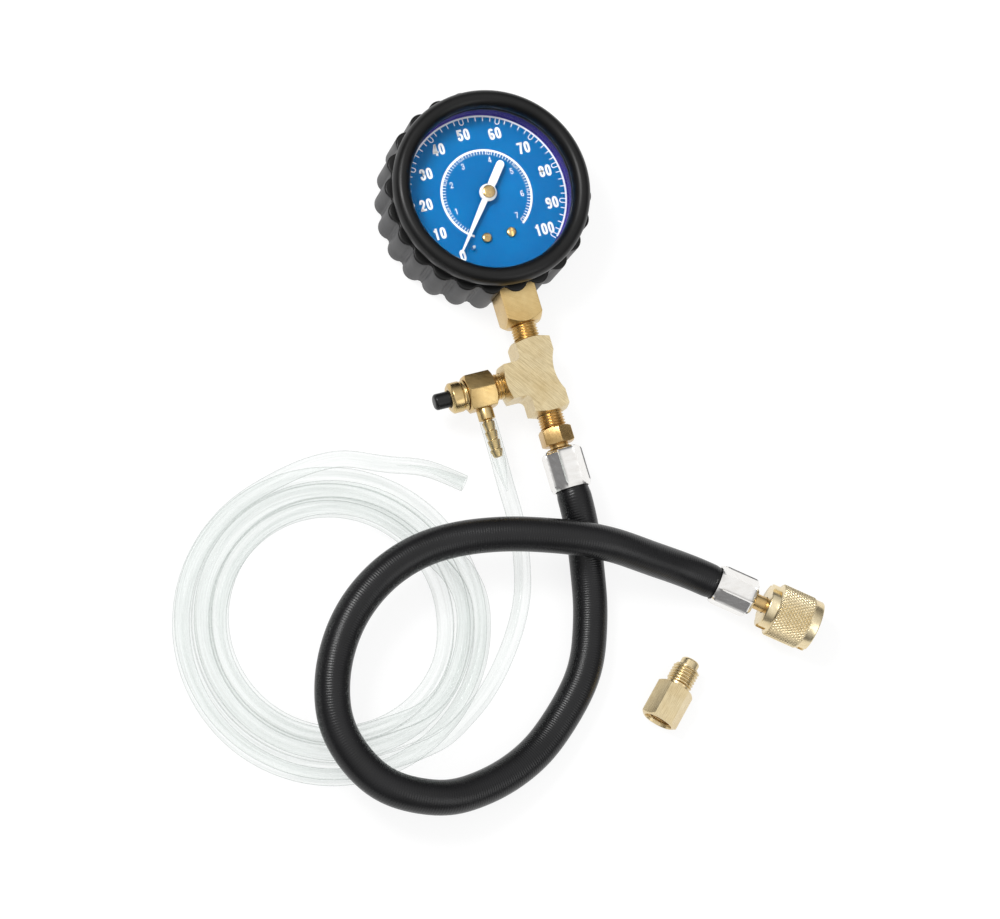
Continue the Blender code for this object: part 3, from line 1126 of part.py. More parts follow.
def build_nut(at, heading):
    """Coupling nut with a diamond knurl, a collar and a notched ring."""
    total = NUT_COLLAR + NUT_KNURL + NUT_RING
    hole = COUPLING_NECK + RUNNING
    collar_edge = NUT_COLLAR_RADIUS - BEVEL_SMALL
    profile = [(NUT_BORE, total), (NUT_RING_RADIUS - BEVEL_SMALL, total), (NUT_RING_RADIUS, total - BEVEL_SMALL),
               (NUT_RING_RADIUS, NUT_COLLAR + NUT_KNURL + BEVEL_SMALL)]
    profile += knurl_profile(NUT_COLLAR)
    profile += [(NUT_COLLAR_RADIUS, NUT_COLLAR - BEVEL_SMALL), (NUT_COLLAR_RADIUS, BEVEL_SMALL), (collar_edge, 0),
                (hole, 0), (hole, NUT_BACK), (NUT_BORE, NUT_BACK)]
    nut = solidified(turned("coupling_nut", profile, BRASS, at, heading, KNURL_COLUMNS, ring=True), BRASS)
    row_step = NUT_KNURL / KNURL_ROWS
    column_step = math.tau / KNURL_COLUMNS
    for vertex in nut.data.vertices:
        radius = math.hypot(vertex.co.x, vertex.co.y)
        row = round((vertex.co.z - NUT_COLLAR) / row_step)
        column = round(math.atan2(vertex.co.y, vertex.co.x) / column_step)
        if radius > NUT_KNURL_RADIUS - SEAT and 0 < row < KNURL_ROWS and (row + column) % 2:
            shrink = (NUT_KNURL_RADIUS - KNURL_DEPTH) / radius
            vertex.co.x *= shrink
            vertex.co.y *= shrink
    knurl_end = NUT_COLLAR + NUT_KNURL + BEVEL_SMALL
    cut_notches(nut, at, heading, NUT_RING_RADIUS, knurl_end, total + SLOT_OVERRUN)
    cut_notches(nut, at, heading, NUT_COLLAR_RADIUS, -SLOT_OVERRUN, NUT_COLLAR - BEVEL_SMALL)
    return nut


def cut_notches(nut, at, heading, radius, low, high):
    """Square notches round one end of the nut, between two heights along its axis."""
    turn = Vector(heading).to_track_quat("Z", "Y")
    middle = radius - NUT_NOTCH_DEEP + SLOT_OVERRUN / 2
    for index in range(NUT_NOTCHES):
        degrees = 360.0 * index / NUT_NOTCHES
        offset = polar(middle, degrees) + UP * (low + high) / 2
        notch = box("nut_notch", (SLOT_OVERRUN, NUT_NOTCH_WIDE, high - low), Vector(at) + turn @ offset, None)
        place(notch, notch.location.copy(), heading, degrees)
        combine(nut, notch, "DIFFERENCE")


def build_coupling():
    """Far end of the hose: stem with its flange, knurled nut, washer and core depressor."""
    heading = polar(1.0, COUPLING_HEADING_DEG)
    base = Vector(COUPLING_AT) + heading * FERRULE_LENGTH
    flange_back = NUT_GAP + NUT_BACK + RUNNING
    flange_front = flange_back + FLANGE_THICK
    flange = NUT_BORE - RUNNING
    neck_back = -FERRULE_LIP - SEAT
    stem_back = -FERRULE_LENGTH + 0.0010
    pocket = flange_front - 0.0015
    stem = turned("coupling_stem", [
        (0, flange_front), (flange, flange_front), (flange, flange_back), (COUPLING_NECK, flange_back),
        (COUPLING_NECK, neck_back), (NIPPLE_STEM, neck_back), (NIPPLE_STEM, stem_back), (0, stem_back)],
        BRASS, base, heading)
    bore = turned("coupling_bore", [
        (0, flange_front + 0.001), (DEPRESSOR_BASE + SEAT, flange_front + 0.001), (DEPRESSOR_BASE + SEAT, pocket),
        (FLUID_BORE, pocket), (FLUID_BORE, stem_back - 0.001), (0, stem_back - 0.001)],
        None, base, heading, ROUND_SMALL)
    combine(stem, bore, "DIFFERENCE")
    washer_base = flange_front + SEAT
    turned("coupling_seal", [
        (WASHER_BORE, washer_base + WASHER_THICK), (flange, washer_base + WASHER_THICK),
        (flange, washer_base), (WASHER_BORE, washer_base)], SEAL_RUBBER, base, heading, ring=True)
    pin_base = pocket + SEAT
    plate = 0.0010
    turned("core_depressor", [
        (0, pin_base + DEPRESSOR_LENGTH), (DEPRESSOR_PIN, pin_base + DEPRESSOR_LENGTH),
        (DEPRESSOR_PIN, pin_base + plate), (DEPRESSOR_BASE, pin_base + plate), (DEPRESSOR_BASE, pin_base),
        (0, pin_base)], BRASS, base, heading, ROUND_SMALL)
    build_nut(base + heading * NUT_GAP, heading)


def build_adapter():
    """Loose adapter: hexagon with a threaded bore, male thread and nose, and its washer."""
    heading = polar(1.0, ADAPTER_HEADING_DEG)
    at = Vector((*ADAPTER_AT, ADAPTER_FLATS / 2))
    adapter = hexagon("adapter_body", ADAPTER_FLATS, ADAPTER_HEX, BRASS, at, heading, 30.0)
    total = ADAPTER_HEX + ADAPTER_THREAD + ADAPTER_NOSE
    cone = ADAPTER_HEX + ADAPTER_THREAD
    neck = ADAPTER_THREAD_RADIUS - THREAD_POINT
    core = turned("adapter_core", [
        (0, total), (ADAPTER_NOSE_RADIUS - 0.0005, total), (ADAPTER_NOSE_RADIUS, total - 0.0005),
        (ADAPTER_NOSE_RADIUS, cone + 0.0010)] + threaded(ADAPTER_THREAD_RADIUS, cone, ADAPTER_HEX + 0.0016)
        + [(neck, ADAPTER_HEX + 0.0012), (neck, ADAPTER_HEX - 0.0010), (0, ADAPTER_HEX - 0.0010)],
        BRASS, at, heading)
    combine(adapter, core, "UNION")
    bore = turned("adapter_bore", [
        (0, total + 0.001), (ADAPTER_PASSAGE, total + 0.001), (ADAPTER_PASSAGE, ADAPTER_BORE_DEPTH),
        (ADAPTER_BORE, ADAPTER_BORE_DEPTH), (ADAPTER_BORE, -0.001), (0, -0.001)], None, at, heading)
    combine(adapter, bore, "DIFFERENCE")
    top = ADAPTER_BORE_DEPTH - SEAT
    outer = ADAPTER_BORE - SEAT
    turned("adapter_seal", [
        (WASHER_BORE, top), (outer, top), (outer, top - ADAPTER_WASHER), (WASHER_BORE, top - ADAPTER_WASHER)],
        SEAL_RUBBER, at, heading, ring=True)


def main():
    """Build every piece of the tester."""
    build_boot()
    build_case()
    build_case_screws()
    build_dial()
    build_movement_plates()
    build_gears()
    build_bourdon()
    build_pointer()
    build_socket()
    build_tee()
    build_valve()
    build_barb()
    build_drain_tube()
    build_hose()
    build_coupling()
    build_adapter()


main()
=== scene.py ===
"""Looks of the fuel pressure tester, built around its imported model."""
import json
import math

import bmesh
import bpy
from mathutils import Matrix, Vector


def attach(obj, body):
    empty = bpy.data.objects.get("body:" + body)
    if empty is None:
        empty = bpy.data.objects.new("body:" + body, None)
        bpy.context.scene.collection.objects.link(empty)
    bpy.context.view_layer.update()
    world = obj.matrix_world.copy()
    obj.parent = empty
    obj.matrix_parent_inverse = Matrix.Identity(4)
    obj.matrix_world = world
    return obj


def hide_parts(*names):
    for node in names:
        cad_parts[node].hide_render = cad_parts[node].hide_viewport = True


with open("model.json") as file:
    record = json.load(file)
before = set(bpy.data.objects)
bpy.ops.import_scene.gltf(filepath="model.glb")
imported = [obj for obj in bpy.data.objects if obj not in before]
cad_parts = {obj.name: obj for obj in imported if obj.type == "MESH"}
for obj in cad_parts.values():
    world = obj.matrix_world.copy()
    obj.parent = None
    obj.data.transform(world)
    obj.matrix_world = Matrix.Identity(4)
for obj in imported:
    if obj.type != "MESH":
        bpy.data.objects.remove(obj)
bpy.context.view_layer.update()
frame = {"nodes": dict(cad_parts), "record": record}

# All places and sizes are in metres
UP = Vector((0, 0, 1))
DOWNWARDS = Vector((0, -1, 0))
LEFTWARDS = Vector((-1, 0, 0))
IDENTITY = Matrix.Identity(4)
MERGED = 1e-7
AXIS_Z = 0.0145
TEE_Y = -0.0725
ARM_X = -0.0152
# Radius, pitch and depth of the 1/8 inch pipe thread
PIPE_THREAD = (0.0050, 0.00112, 0.00062)
# Slope of a bar's turned ends, and the share of its half width where they start
CONE_SLOPE = 0.62
CONE_SHARE = 0.97


# Every material of the part by its name, filled by main
LOOKS = {}


def linked(name, data):
    """New object in the scene."""
    obj = bpy.data.objects.new(name, data)
    bpy.context.scene.collection.objects.link(obj)
    return obj


def clamped(value):
    """Value held between 0 and 1."""
    return min(1.0, max(0.0, value))


# Camera, floor and light


def make_camera():
    """Camera at the photograph's angle, for a frame of 1000 by 919."""
    frame_pixels, focal_pixels, sensor = 1000, 2898.96, 36.0
    camera = linked("camera", bpy.data.cameras.new("camera"))
    right = (0.9339054685, -0.2819055950, 0.2198859054)
    up = (0.2375670024, 0.9489320587, 0.2075809900)
    back = (-0.2671750274, -0.1416233863, 0.9531843060)
    at = (-0.3135194602, -0.2530388497, 1.0485027366)
    rows = [(right[i], up[i], back[i], at[i]) for i in range(3)] + [(0, 0, 0, 1)]
    camera.matrix_world = Matrix(rows)
    camera.data.sensor_fit = "HORIZONTAL"
    camera.data.sensor_width = sensor
    camera.data.lens = focal_pixels / frame_pixels * sensor
    camera.data.clip_start = 0.01
    camera.data.clip_end = 20.0
    bpy.context.scene.camera = camera
    bpy.context.scene.view_settings.view_transform = "Standard"


def fill(tree, node, inputs):
    """Set a node's inputs by name or number: an output is linked, anything else is the value."""
    for place, value in inputs.items():
        if isinstance(value, bpy.types.NodeSocket):
            tree.links.new(value, node.inputs[place])
        else:
            node.inputs[place].default_value = value


def add_node(tree, kind, inputs=(), **settings):
    """New shader node with its inputs and settings."""
    node = tree.nodes.new("ShaderNode" + kind)
    for setting, value in settings.items():
        setattr(node, setting, value)
    fill(tree, node, dict(inputs))
    return node


def larger(tree, first, second):
    """Larger of two values."""
    return add_node(tree, "Math", {0: first, 1: second}, operation="MAXIMUM").outputs[0]


def colour_ramp(tree, value, *stops):
    """Colour for a value, from stops of a place and a colour."""
    node = add_node(tree, "ValToRGB", {"Fac": value})
    elements = node.color_ramp.elements
    for element, (place, colour) in zip(elements, (stops[0], stops[-1])):
        element.position = place
        element.color = (*colour, 1)
    for place, colour in stops[1:-1]:
        elements.new(place).color = (*colour, 1)
    return node.outputs["Color"]


def make_floor():
    """Pale floor that keeps a light shadow: it glows where it is seen, and is plain to the lamps' light."""
    half_side, below = 6.0, -0.0002
    mesh = bpy.data.meshes.new("floor")
    corners = [(x * half_side, y * half_side, below) for x, y in ((-1, -1), (1, -1), (1, 1), (-1, 1))]
    mesh.from_pydata(corners, [], [(0, 1, 2, 3)])
    floor = linked("floor", mesh)
    material = bpy.data.materials.new("floor")
    material.use_nodes = True
    tree = material.node_tree
    tree.nodes.clear()
    plain = add_node(tree, "BsdfDiffuse", {"Color": (0.80, 0.80, 0.80, 1)})
    veil = add_node(tree, "BsdfDiffuse", {"Color": (0.20, 0.20, 0.20, 1)})
    glow = add_node(tree, "Emission", {"Color": (1, 1, 1, 1), "Strength": 0.84})
    seen = add_node(tree, "AddShader", {0: glow.outputs[0], 1: veil.outputs[0]})
    rays = add_node(tree, "LightPath").outputs
    direct = larger(tree, rays["Is Camera Ray"], rays["Is Glossy Ray"])
    shown = larger(tree, direct, rays["Is Transmission Ray"])
    mix = add_node(tree, "MixShader", {"Fac": shown, 1: plain.outputs[0], 2: seen.outputs[0]})
    add_node(tree, "OutputMaterial", {"Surface": mix.outputs[0]})
    mesh.materials.append(material)


def make_world():
    """Surrounding that is dark near the horizon and white overhead."""
    world = bpy.data.worlds.new("studio")
    bpy.context.scene.world = world
    world.use_nodes = True
    tree = world.node_tree
    where = add_node(tree, "TexCoord")
    split = add_node(tree, "SeparateXYZ", {0: where.outputs["Generated"]})
    sky = colour_ramp(tree, split.outputs["Z"], (0.05, (0.16, 0.16, 0.165)), (0.42, (0.30, 0.30, 0.305)),
                      (0.92, (1.0, 1.0, 1.0)))
    fill(tree, tree.nodes["Background"], {"Color": sky, "Strength": 0.98})


def make_lamp(name, at, size, power):
    """Square area lamp that faces the object."""
    target = Vector((-0.03, -0.09, 0.0))
    lamp = linked(name, bpy.data.lights.new(name, "AREA"))
    lamp.data.size = size
    lamp.data.energy = power
    lamp.location = at
    lamp.rotation_mode = "QUATERNION"
    lamp.rotation_quaternion = (target - Vector(at)).to_track_quat("-Z", "Y")


# Materials


class Paint:
    """Principled material with a small set of node helpers."""

    def __init__(self, name, colour, roughness, metallic=0.0, level=0.5):
        self.material = bpy.data.materials.new(name)
        self.material.use_nodes = True
        self.tree = self.material.node_tree
        self.shader = self.tree.nodes["Principled BSDF"]
        self.where = self.node("TexCoord")
        fill(self.tree, self.shader, {"Base Color": (*colour, 1), "Roughness": roughness,
                                      "Metallic": metallic, "Specular IOR Level": level})

    def node(self, kind, inputs=(), **settings):
        """New node in this material."""
        return add_node(self.tree, kind, inputs, **settings)

    def mapped(self, scale=(1, 1, 1), turn=(0, 0, 0), source="Object"):
        """Coordinates that are first turned, in degrees, and then stretched."""
        angles = [math.radians(angle) for angle in turn]
        swung = self.node("Mapping", {"Vector": self.where.outputs[source], "Rotation": angles})
        return self.node("Mapping", {"Vector": swung.outputs[0], "Scale": scale}).outputs[0]

    def noise(self, scale, detail=3.0, vector=None, rough=0.55):
        """Value between 0 and 1 from a noise texture."""
        values = {"Vector": vector or self.mapped(), "Scale": scale, "Detail": detail, "Roughness": rough}
        return self.node("TexNoise", values).outputs["Fac"]

    def ramp(self, value, low_colour, high_colour, low=0.3, high=0.7):
        """Colour between two colours."""
        return colour_ramp(self.tree, value, (low, low_colour), (high, high_colour))

    def spread(self, value, to_low, to_high, low=0.3, high=0.7):
        """Value moved from one range to another."""
        values = {"Value": value, "From Min": low, "From Max": high, "To Min": to_low, "To Max": to_high}
        return self.node("MapRange", values).outputs["Result"]

    def multiplied(self, colour, other, share):
        """Colour multiplied by a share of another one."""
        values = {"Fac": share, "Color1": colour, "Color2": other}
        return self.node("MixRGB", values, blend_type="MULTIPLY").outputs["Color"]

    def dressed(self, colour, roughness, *bumps):
        """Material with its colour, its roughness and bumps of (height, distance in metres, strength)."""
        fill(self.tree, self.shader, {"Base Color": colour, "Roughness": roughness})
        normal = {}
        for height, distance, strength in bumps:
            values = {"Height": height, "Distance": distance, "Strength": strength, **normal}
            bump = self.node("Bump", values)
            normal = {"Normal": bump.outputs["Normal"]}
        fill(self.tree, self.shader, normal)
        return self.material

    def mixed(self, share, first, second):
        """Material with a mix of two shaders as its surface."""
        mix = self.node("MixShader", {"Fac": share, 1: first.outputs[0], 2: second.outputs[0]})
        fill(self.tree, self.tree.nodes["Material Output"], {"Surface": mix.outputs[0]})
        return self.material


def brass(name, turn=(0, 0, 35), stretch=(1, 14, 8), bright=(0.80, 0.62, 0.31), deep=(0.64, 0.43, 0.17),
          fine=112.5, roughness=(0.24, 0.42), depth=0.000012, scratch=0.15):
    """Brushed or turned brass: fine scratches along one direction and a slow change of tone."""
    paint = Paint(name, bright, 0.3, 1.0)
    tone = paint.ramp(paint.noise(55.0), deep, bright, 0.30, 0.72)
    stain = paint.ramp(paint.noise(420.0, 4.0), (0.78, 0.72, 0.62), (1, 1, 1), 0.35, 0.70)
    brushed = paint.noise(fine, 5.0, paint.mapped(stretch, turn), 0.7)
    lines = paint.ramp(brushed, (0.36, 0.30, 0.20), (1, 1, 1), 0.38, 0.60)
    colour = paint.multiplied(paint.multiplied(tone, stain, 0.35), lines, scratch)
    return paint.dressed(colour, paint.spread(brushed, *roughness), (brushed, depth, 0.55))


def turned_brass(name, bright, deep, fine=650.0, roughness=(0.22, 0.34), depth=0.000005):
    """Turned brass with an even fine grain."""
    return brass(name, (0, 0, 0), (1, 1, 1), bright, deep, fine, roughness, depth)


def nickel():
    """Bright plated steel with faint draw marks."""
    paint = Paint("nickel", (0.86, 0.85, 0.83), 0.16, 1.0)
    marks = paint.noise(260.0, 4.0, paint.mapped((1, 1, 6), (30, 0, 0)), 0.6)
    colour = paint.ramp(marks, (0.84, 0.82, 0.79), (0.93, 0.92, 0.90))
    return paint.dressed(colour, paint.spread(marks, 0.12, 0.24), (marks, 0.000008, 0.4))


def steel():
    """Plain turned steel."""
    paint = Paint("steel", (0.56, 0.57, 0.59), 0.34, 1.0)
    grain = paint.noise(900.0, 4.0)
    colour = paint.ramp(grain, (0.46, 0.47, 0.49), (0.62, 0.63, 0.65))
    return paint.dressed(colour, paint.spread(grain, 0.28, 0.42), (grain, 0.000006, 0.4))


def rubber(name, low, high, roughness, level=0.5):
    """Moulded rubber with a fine grain and a slow change of sheen."""
    paint = Paint(name, high, 0.5, level=level)
    slow = paint.noise(60.0, 4.0)
    fine = paint.noise(3200.0)
    return paint.dressed(paint.ramp(slow, low, high), paint.spread(slow, *roughness), (fine, 0.00002, 0.5))


def hose_rubber():
    """Black hose cover with the fine ribs of its cloth wrap, from angle and length in the UV map."""
    paint = Paint("hose_rubber", (0.006, 0.006, 0.007), 0.36, level=0.36)
    along = paint.mapped((18, 330, 1), source="UV")
    waves = {"Vector": along, "Scale": 1.0, "Distortion": 1.6, "Detail": 2.0, "Detail Scale": 1.4}
    ribs = paint.node("TexWave", waves, wave_type="BANDS", bands_direction="Y").outputs["Fac"]
    cloth = paint.noise(1.0, 3.0, paint.mapped((160, 1500, 1), source="UV"), 0.6)
    colour = paint.ramp(paint.noise(45.0, 4.0), (0.003, 0.003, 0.0035), (0.008, 0.008, 0.009))
    roughness = paint.spread(cloth, 0.24, 0.38)
    return paint.dressed(colour, roughness, (ribs, 0.00010, 0.40), (cloth, 0.00006, 0.40))


def painted(name, low, high, level=0.5):
    """Printed or painted surface with a faint orange peel."""
    paint = Paint(name, high, 0.4, level=level)
    peel = paint.noise(1400.0, 2.0)
    colour = paint.ramp(paint.noise(70.0), low, high)
    return paint.dressed(colour, paint.spread(peel, 0.34, 0.46), (peel, 0.000004, 0.4))


def clear(name, colour, roughness, ior):
    """Clear material that lets the lamps' light through to what is behind it."""
    paint = Paint(name, colour, roughness)
    haze = paint.ramp(paint.noise(90.0, 2.0), [part * 0.985 for part in colour], colour)
    fill(paint.tree, paint.shader, {"Base Color": haze, "IOR": ior, "Transmission Weight": 1.0})
    through = paint.node("BsdfTransparent", {"Color": (*colour, 1)})
    shadow = paint.node("LightPath").outputs["Is Shadow Ray"]
    return paint.mixed(shadow, paint.shader, through)


def vinyl():
    """Clear soft tube: streaks of faint veil in its wall, and a painted grey-green shade at its edges in
    place of the dark lines that refraction draws there.
    """
    paint = Paint("clear_vinyl", (0.42, 0.50, 0.46), 0.10)
    haze = paint.ramp(paint.noise(60.0, 2.0), (0.36, 0.44, 0.40), (0.48, 0.56, 0.52))
    fill(paint.tree, paint.shader, {"Base Color": haze})
    through = paint.node("BsdfTransparent", {"Color": (0.992, 0.998, 0.995, 1)})
    # Painted shade: the wall's grey-green cover grows where it is seen edge-on, drawing the tube's dark
    # outline
    facing = paint.node("LayerWeight", {"Blend": 0.5}).outputs["Facing"]
    edge_shade_levels = ((0.0, 0.012), (0.42, 0.020), (0.56, 0.09), (0.72, 0.30), (1.0, 0.52))
    edge = colour_ramp(paint.tree, facing, *[(place, (value,) * 3) for place, value in edge_shade_levels])
    streaks = paint.noise(1.0, 2.0, paint.mapped((11, 16, 1), source="UV"), 0.5)
    veil = paint.spread(streaks, 0.012, 0.15, 0.46, 0.66)
    return paint.mixed(larger(paint.tree, edge, veil), through, paint.shader)


def make_looks():
    """Every material of the part, by the record's slot or by its own name."""
    return {
        "brass": brass("brass"),
        "brass_tee": brass("brass_tee", (0, 0, 54), (1, 16, 10), (0.88, 0.76, 0.50), (0.78, 0.63, 0.36),
                           187.5, (0.26, 0.46), 0.00003, 0.42),
        "brass_adapter": brass("brass_adapter", (0, 0, -43.4), (1, 16, 16), (0.90, 0.78, 0.52),
                               (0.78, 0.62, 0.35), 175.0, (0.22, 0.40), 0.00002, 0.32),
        "brass_turned": turned_brass("brass_turned", (0.76, 0.60, 0.32), (0.60, 0.42, 0.18),
                                     roughness=(0.20, 0.32)),
        "brass_warm": turned_brass("brass_warm", (0.76, 0.56, 0.28), (0.58, 0.38, 0.15)),
        "brass_nut": turned_brass("brass_nut", (0.93, 0.82, 0.57), (0.85, 0.70, 0.43), 525.0,
                                  (0.20, 0.32), 0.000004),
        "nickel": nickel(),
        "steel": steel(),
        "black_paint": painted("black_paint", (0.012, 0.012, 0.013), (0.022, 0.022, 0.023)),
        "boot_rubber": rubber("boot_rubber", (0.026, 0.026, 0.028), (0.044, 0.044, 0.046), (0.40, 0.54)),
        "bead_rubber": rubber("bead_rubber", (0.003, 0.003, 0.003), (0.006, 0.006, 0.006), (0.30, 0.42),
                              0.30),
        "hose_rubber": hose_rubber(),
        "seal_rubber": rubber("seal_rubber", (0.014, 0.014, 0.014), (0.024, 0.024, 0.024), (0.55, 0.68)),
        "dial_blue": painted("dial_blue", (0.000, 0.112, 0.325), (0.000, 0.136, 0.370), 0.06),
        # Darker violet for the dial's rim wall: painted shade, not a colour of the dish itself
        "dial_rim_painted_shade": painted("dial_rim_painted_shade", (0.020, 0.014, 0.150), (0.040, 0.028, 0.240), 0.08),
        "white_paint": painted("white_paint", (0.80, 0.80, 0.80), (0.88, 0.88, 0.88)),
        "clear_lens": clear("clear_lens", (0.99, 0.995, 0.995), 0.01, 1.16),
        "clear_vinyl": vinyl(),
        "black_plastic": rubber("black_plastic", (0.004, 0.004, 0.004), (0.008, 0.008, 0.008), (0.28, 0.40),
                                0.35),
    }


# Mesh helpers


def axis_frame(origin, direction=UP, roll=0.0):
    """Matrix that puts local Z along a direction, rolled about it in degrees."""
    turn = Vector(direction).to_track_quat("Z", "Y").to_matrix().to_4x4()
    return Matrix.Translation(Vector(origin)) @ turn @ spin(roll)


def spin(degrees):
    """Turn about Z."""
    return Matrix.Rotation(math.radians(degrees), 4, "Z")


def piece(name, mesh, look, *nodes, body="tester", crease=32.0):
    """Object from a mesh that rides on a body and stands for CAD nodes; several looks come as a tuple."""
    looks = look if isinstance(look, tuple) else (look,)
    mesh.name = name
    mesh.materials.clear()
    for one in looks:
        mesh.materials.append(LOOKS[one])
    mesh.shade_smooth()
    mesh.set_sharp_from_angle(angle=math.radians(crease))
    obj = linked(name, mesh)
    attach(obj, body)
    if nodes:
        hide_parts(*nodes)
    return obj


def hoop(radii, height, matrix):
    """Ring of points at even angles round the Z axis of a matrix, with a radius for each."""
    angles = [math.tau * index / len(radii) for index in range(len(radii))]
    return [matrix @ Vector((radius * math.cos(angle), radius * math.sin(angle), height))
            for radius, angle in zip(radii, angles)]


def wall(shape, before, after):
    """Faces between two rings of vertices."""
    for index in range(len(before)):
        following = (index + 1) % len(before)
        shape.faces.new((before[index], before[following], after[following], after[index]))


def grid(shape, rows):
    """Faces between rings of points."""
    made = [[shape.verts.new(point) for point in row] for row in rows]
    for before, after in zip(made, made[1:]):
        wall(shape, before, after)
    return made


def fan(shape, ring, flip=False):
    """One face over a ring of vertices."""
    shape.faces.new(list(reversed(ring)) if flip else ring)


def capped(shape, made):
    """Close the first and the last ring of a grid."""
    fan(shape, made[0], True)
    fan(shape, made[-1])


def arc(centre, wide, tall, start, end, steps):
    """Points on an arc of a circle or an oval, ends included, from angles in degrees."""
    angles = [math.radians(start + (end - start) * index / steps) for index in range(steps + 1)]
    return [(centre[0] + wide * math.cos(angle), centre[1] + tall * math.sin(angle)) for angle in angles]


def soften(points, radius, steps=3, closed=False):
    """Round the corners of a line of (radius, height) points."""
    most_of_side = 0.42
    result = []
    for index, point in enumerate(points):
        if not closed and index in (0, len(points) - 1):
            result.append(point)
            continue
        here = Vector(point)
        before = Vector(points[index - 1])
        after = Vector(points[(index + 1) % len(points)])
        reach = min(radius, most_of_side * (before - here).length, most_of_side * (after - here).length)
        start = here + (before - here).normalized() * reach
        end = here + (after - here).normalized() * reach
        for step in range(steps + 1):
            t = step / steps
            result.append(tuple(start * (1 - t) ** 2 + here * 2 * t * (1 - t) + end * t * t))
    return result


def lathe(shape, profile, matrix, steps=72, ring=False):
    """Add a turned form: points run down its outer side, on the axis or round a ring."""
    rows = [hoop([radius] * (steps if radius > MERGED else 1), height, matrix) for radius, height in profile]
    made = [[shape.verts.new(point) for point in row] for row in rows]
    pairs = list(zip(made, made[1:]))
    if ring:
        pairs.append((made[-1], made[0]))
    for before, after in pairs:
        for index in range(steps):
            following = (index + 1) % steps
            corners = []
            for row, numbers in ((before, (following, index)), (after, (index, following))):
                for place in numbers:
                    vertex = row[0] if len(row) == 1 else row[place]
                    if vertex not in corners:
                        corners.append(vertex)
            if len(corners) > 2:
                shape.faces.new(corners)


def finished(shape):
    """Mesh from a bmesh, with its normals facing out."""
    bmesh.ops.recalc_face_normals(shape, faces=shape.faces)
    mesh = bpy.data.meshes.new("made")
    shape.to_mesh(mesh)
    shape.free()
    return mesh


def reopened(mesh):
    """Bmesh with the faces of a mesh, for more forms to be added."""
    shape = bmesh.new()
    shape.from_mesh(mesh)
    return shape


def turned_mesh(profile, matrix, steps, ring=False):
    """Mesh of a turned form."""
    shape = bmesh.new()
    lathe(shape, profile, matrix, steps, ring)
    return finished(shape)


def turned(name, profile, look, *nodes, at=(0, 0, 0), way=UP, steps=72, ring=False, soft=0.0002,
           body="tester"):
    """Turned piece with its corners rounded."""
    line = soften(profile, soft, 3, ring)
    return piece(name, turned_mesh(line, axis_frame(at, way), steps, ring), look, *nodes, body=body)


def boxed(shape, size, centre, matrix=IDENTITY):
    """Add a box."""
    for vertex in bmesh.ops.create_cube(shape, size=1.0)["verts"]:
        place = Vector([part * side for part, side in zip(vertex.co, size)])
        vertex.co = matrix @ (place + Vector(centre))


def box_mesh(size, centre, matrix=IDENTITY):
    """Mesh of a box."""
    shape = bmesh.new()
    boxed(shape, size, centre, matrix)
    return finished(shape)


def extruded(line, low, high, matrix=IDENTITY):
    """Mesh of an outline drawn out between two heights."""
    shape = bmesh.new()
    below, above = [[shape.verts.new(matrix @ Vector((x, y, height))) for x, y in line]
                    for height in (low, high)]
    capped(shape, (below, above))
    wall(shape, below, above)
    return finished(shape)


def carved(mesh, cutters=(), bevel=0.0, segments=2, angle=25):
    """Mesh after cuts and a bevel, worked out once by modifiers on a helper object."""
    obj = linked("helper", mesh)
    helpers = [obj]
    for cutter in cutters:
        helpers.append(linked("tool", cutter))
        cut = obj.modifiers.new("cut", "BOOLEAN")
        cut.operation = "DIFFERENCE"
        cut.object = helpers[-1]
        cut.solver = "EXACT"
    if bevel:
        edge = obj.modifiers.new("edge", "BEVEL")
        edge.width = bevel
        edge.segments = segments
        edge.limit_method = "ANGLE"
        edge.angle_limit = math.radians(angle)
    graph = bpy.context.evaluated_depsgraph_get()
    result = bpy.data.meshes.new_from_object(obj.evaluated_get(graph))
    for helper in helpers:
        bpy.data.objects.remove(helper)
    return result


def bar(sides, flats, length, matrix, bevel, cones=None, slope=CONE_SLOPE, per_side=14, bore=0.0, **finish):
    """Bar with flats in a new bmesh, its ends turned to cones that leave curved edges on the flats."""
    count = sides * per_side
    pitch = math.tau / sides
    half = flats / 2
    cone_low, cone_high = cones or (half * CONE_SHARE, half * CONE_SHARE)
    centre = max(bore, 0.0001)
    rows = [[] for _ in range(6)]
    for index in range(count):
        angle = math.tau * index / count
        reach = half / math.cos((angle + pitch / 2) % pitch - pitch / 2)
        unit = Vector((math.cos(angle), math.sin(angle), 0))
        lift_low = max(0.0, (reach - cone_low) * slope)
        lift_high = max(0.0, (reach - cone_high) * slope)
        points = [unit * centre, unit * min(cone_low, reach), unit * reach + UP * lift_low,
                  unit * reach + UP * (length - lift_high), unit * min(cone_high, reach) + UP * length,
                  unit * centre + UP * length]
        for row, point in zip(rows, points):
            row.append(matrix @ point)
    shape = bmesh.new()
    made = grid(shape, rows)
    if bore:
        wall(shape, made[-1], made[0])
    else:
        capped(shape, made)
    return reopened(carved(finished(shape), bevel=bevel, **finish))


def thread(shape, radius, pitch, depth, low, high, matrix, fade=0.8):
    """Add a right-handed thread between two heights, which fades out over a share of a pitch."""
    steps, rows_per_pitch, land = 60, 12, 0.12
    count = max(4, round((high - low) / pitch * rows_per_pitch))
    rows = []
    for row in range(count + 1):
        height = low + (high - low) * row / count
        grow = clamped(min(height - low, high - height) / (fade * pitch))
        radii = []
        for index in range(steps):
            wave = abs((height / pitch - index / steps) % 1.0 * 2 - 1)
            radii.append(radius - depth * (1.0 - clamped((wave - land) / (1 - 2 * land)) * grow))
        rows.append(hoop(radii, height, matrix))
    capped(shape, grid(shape, rows))


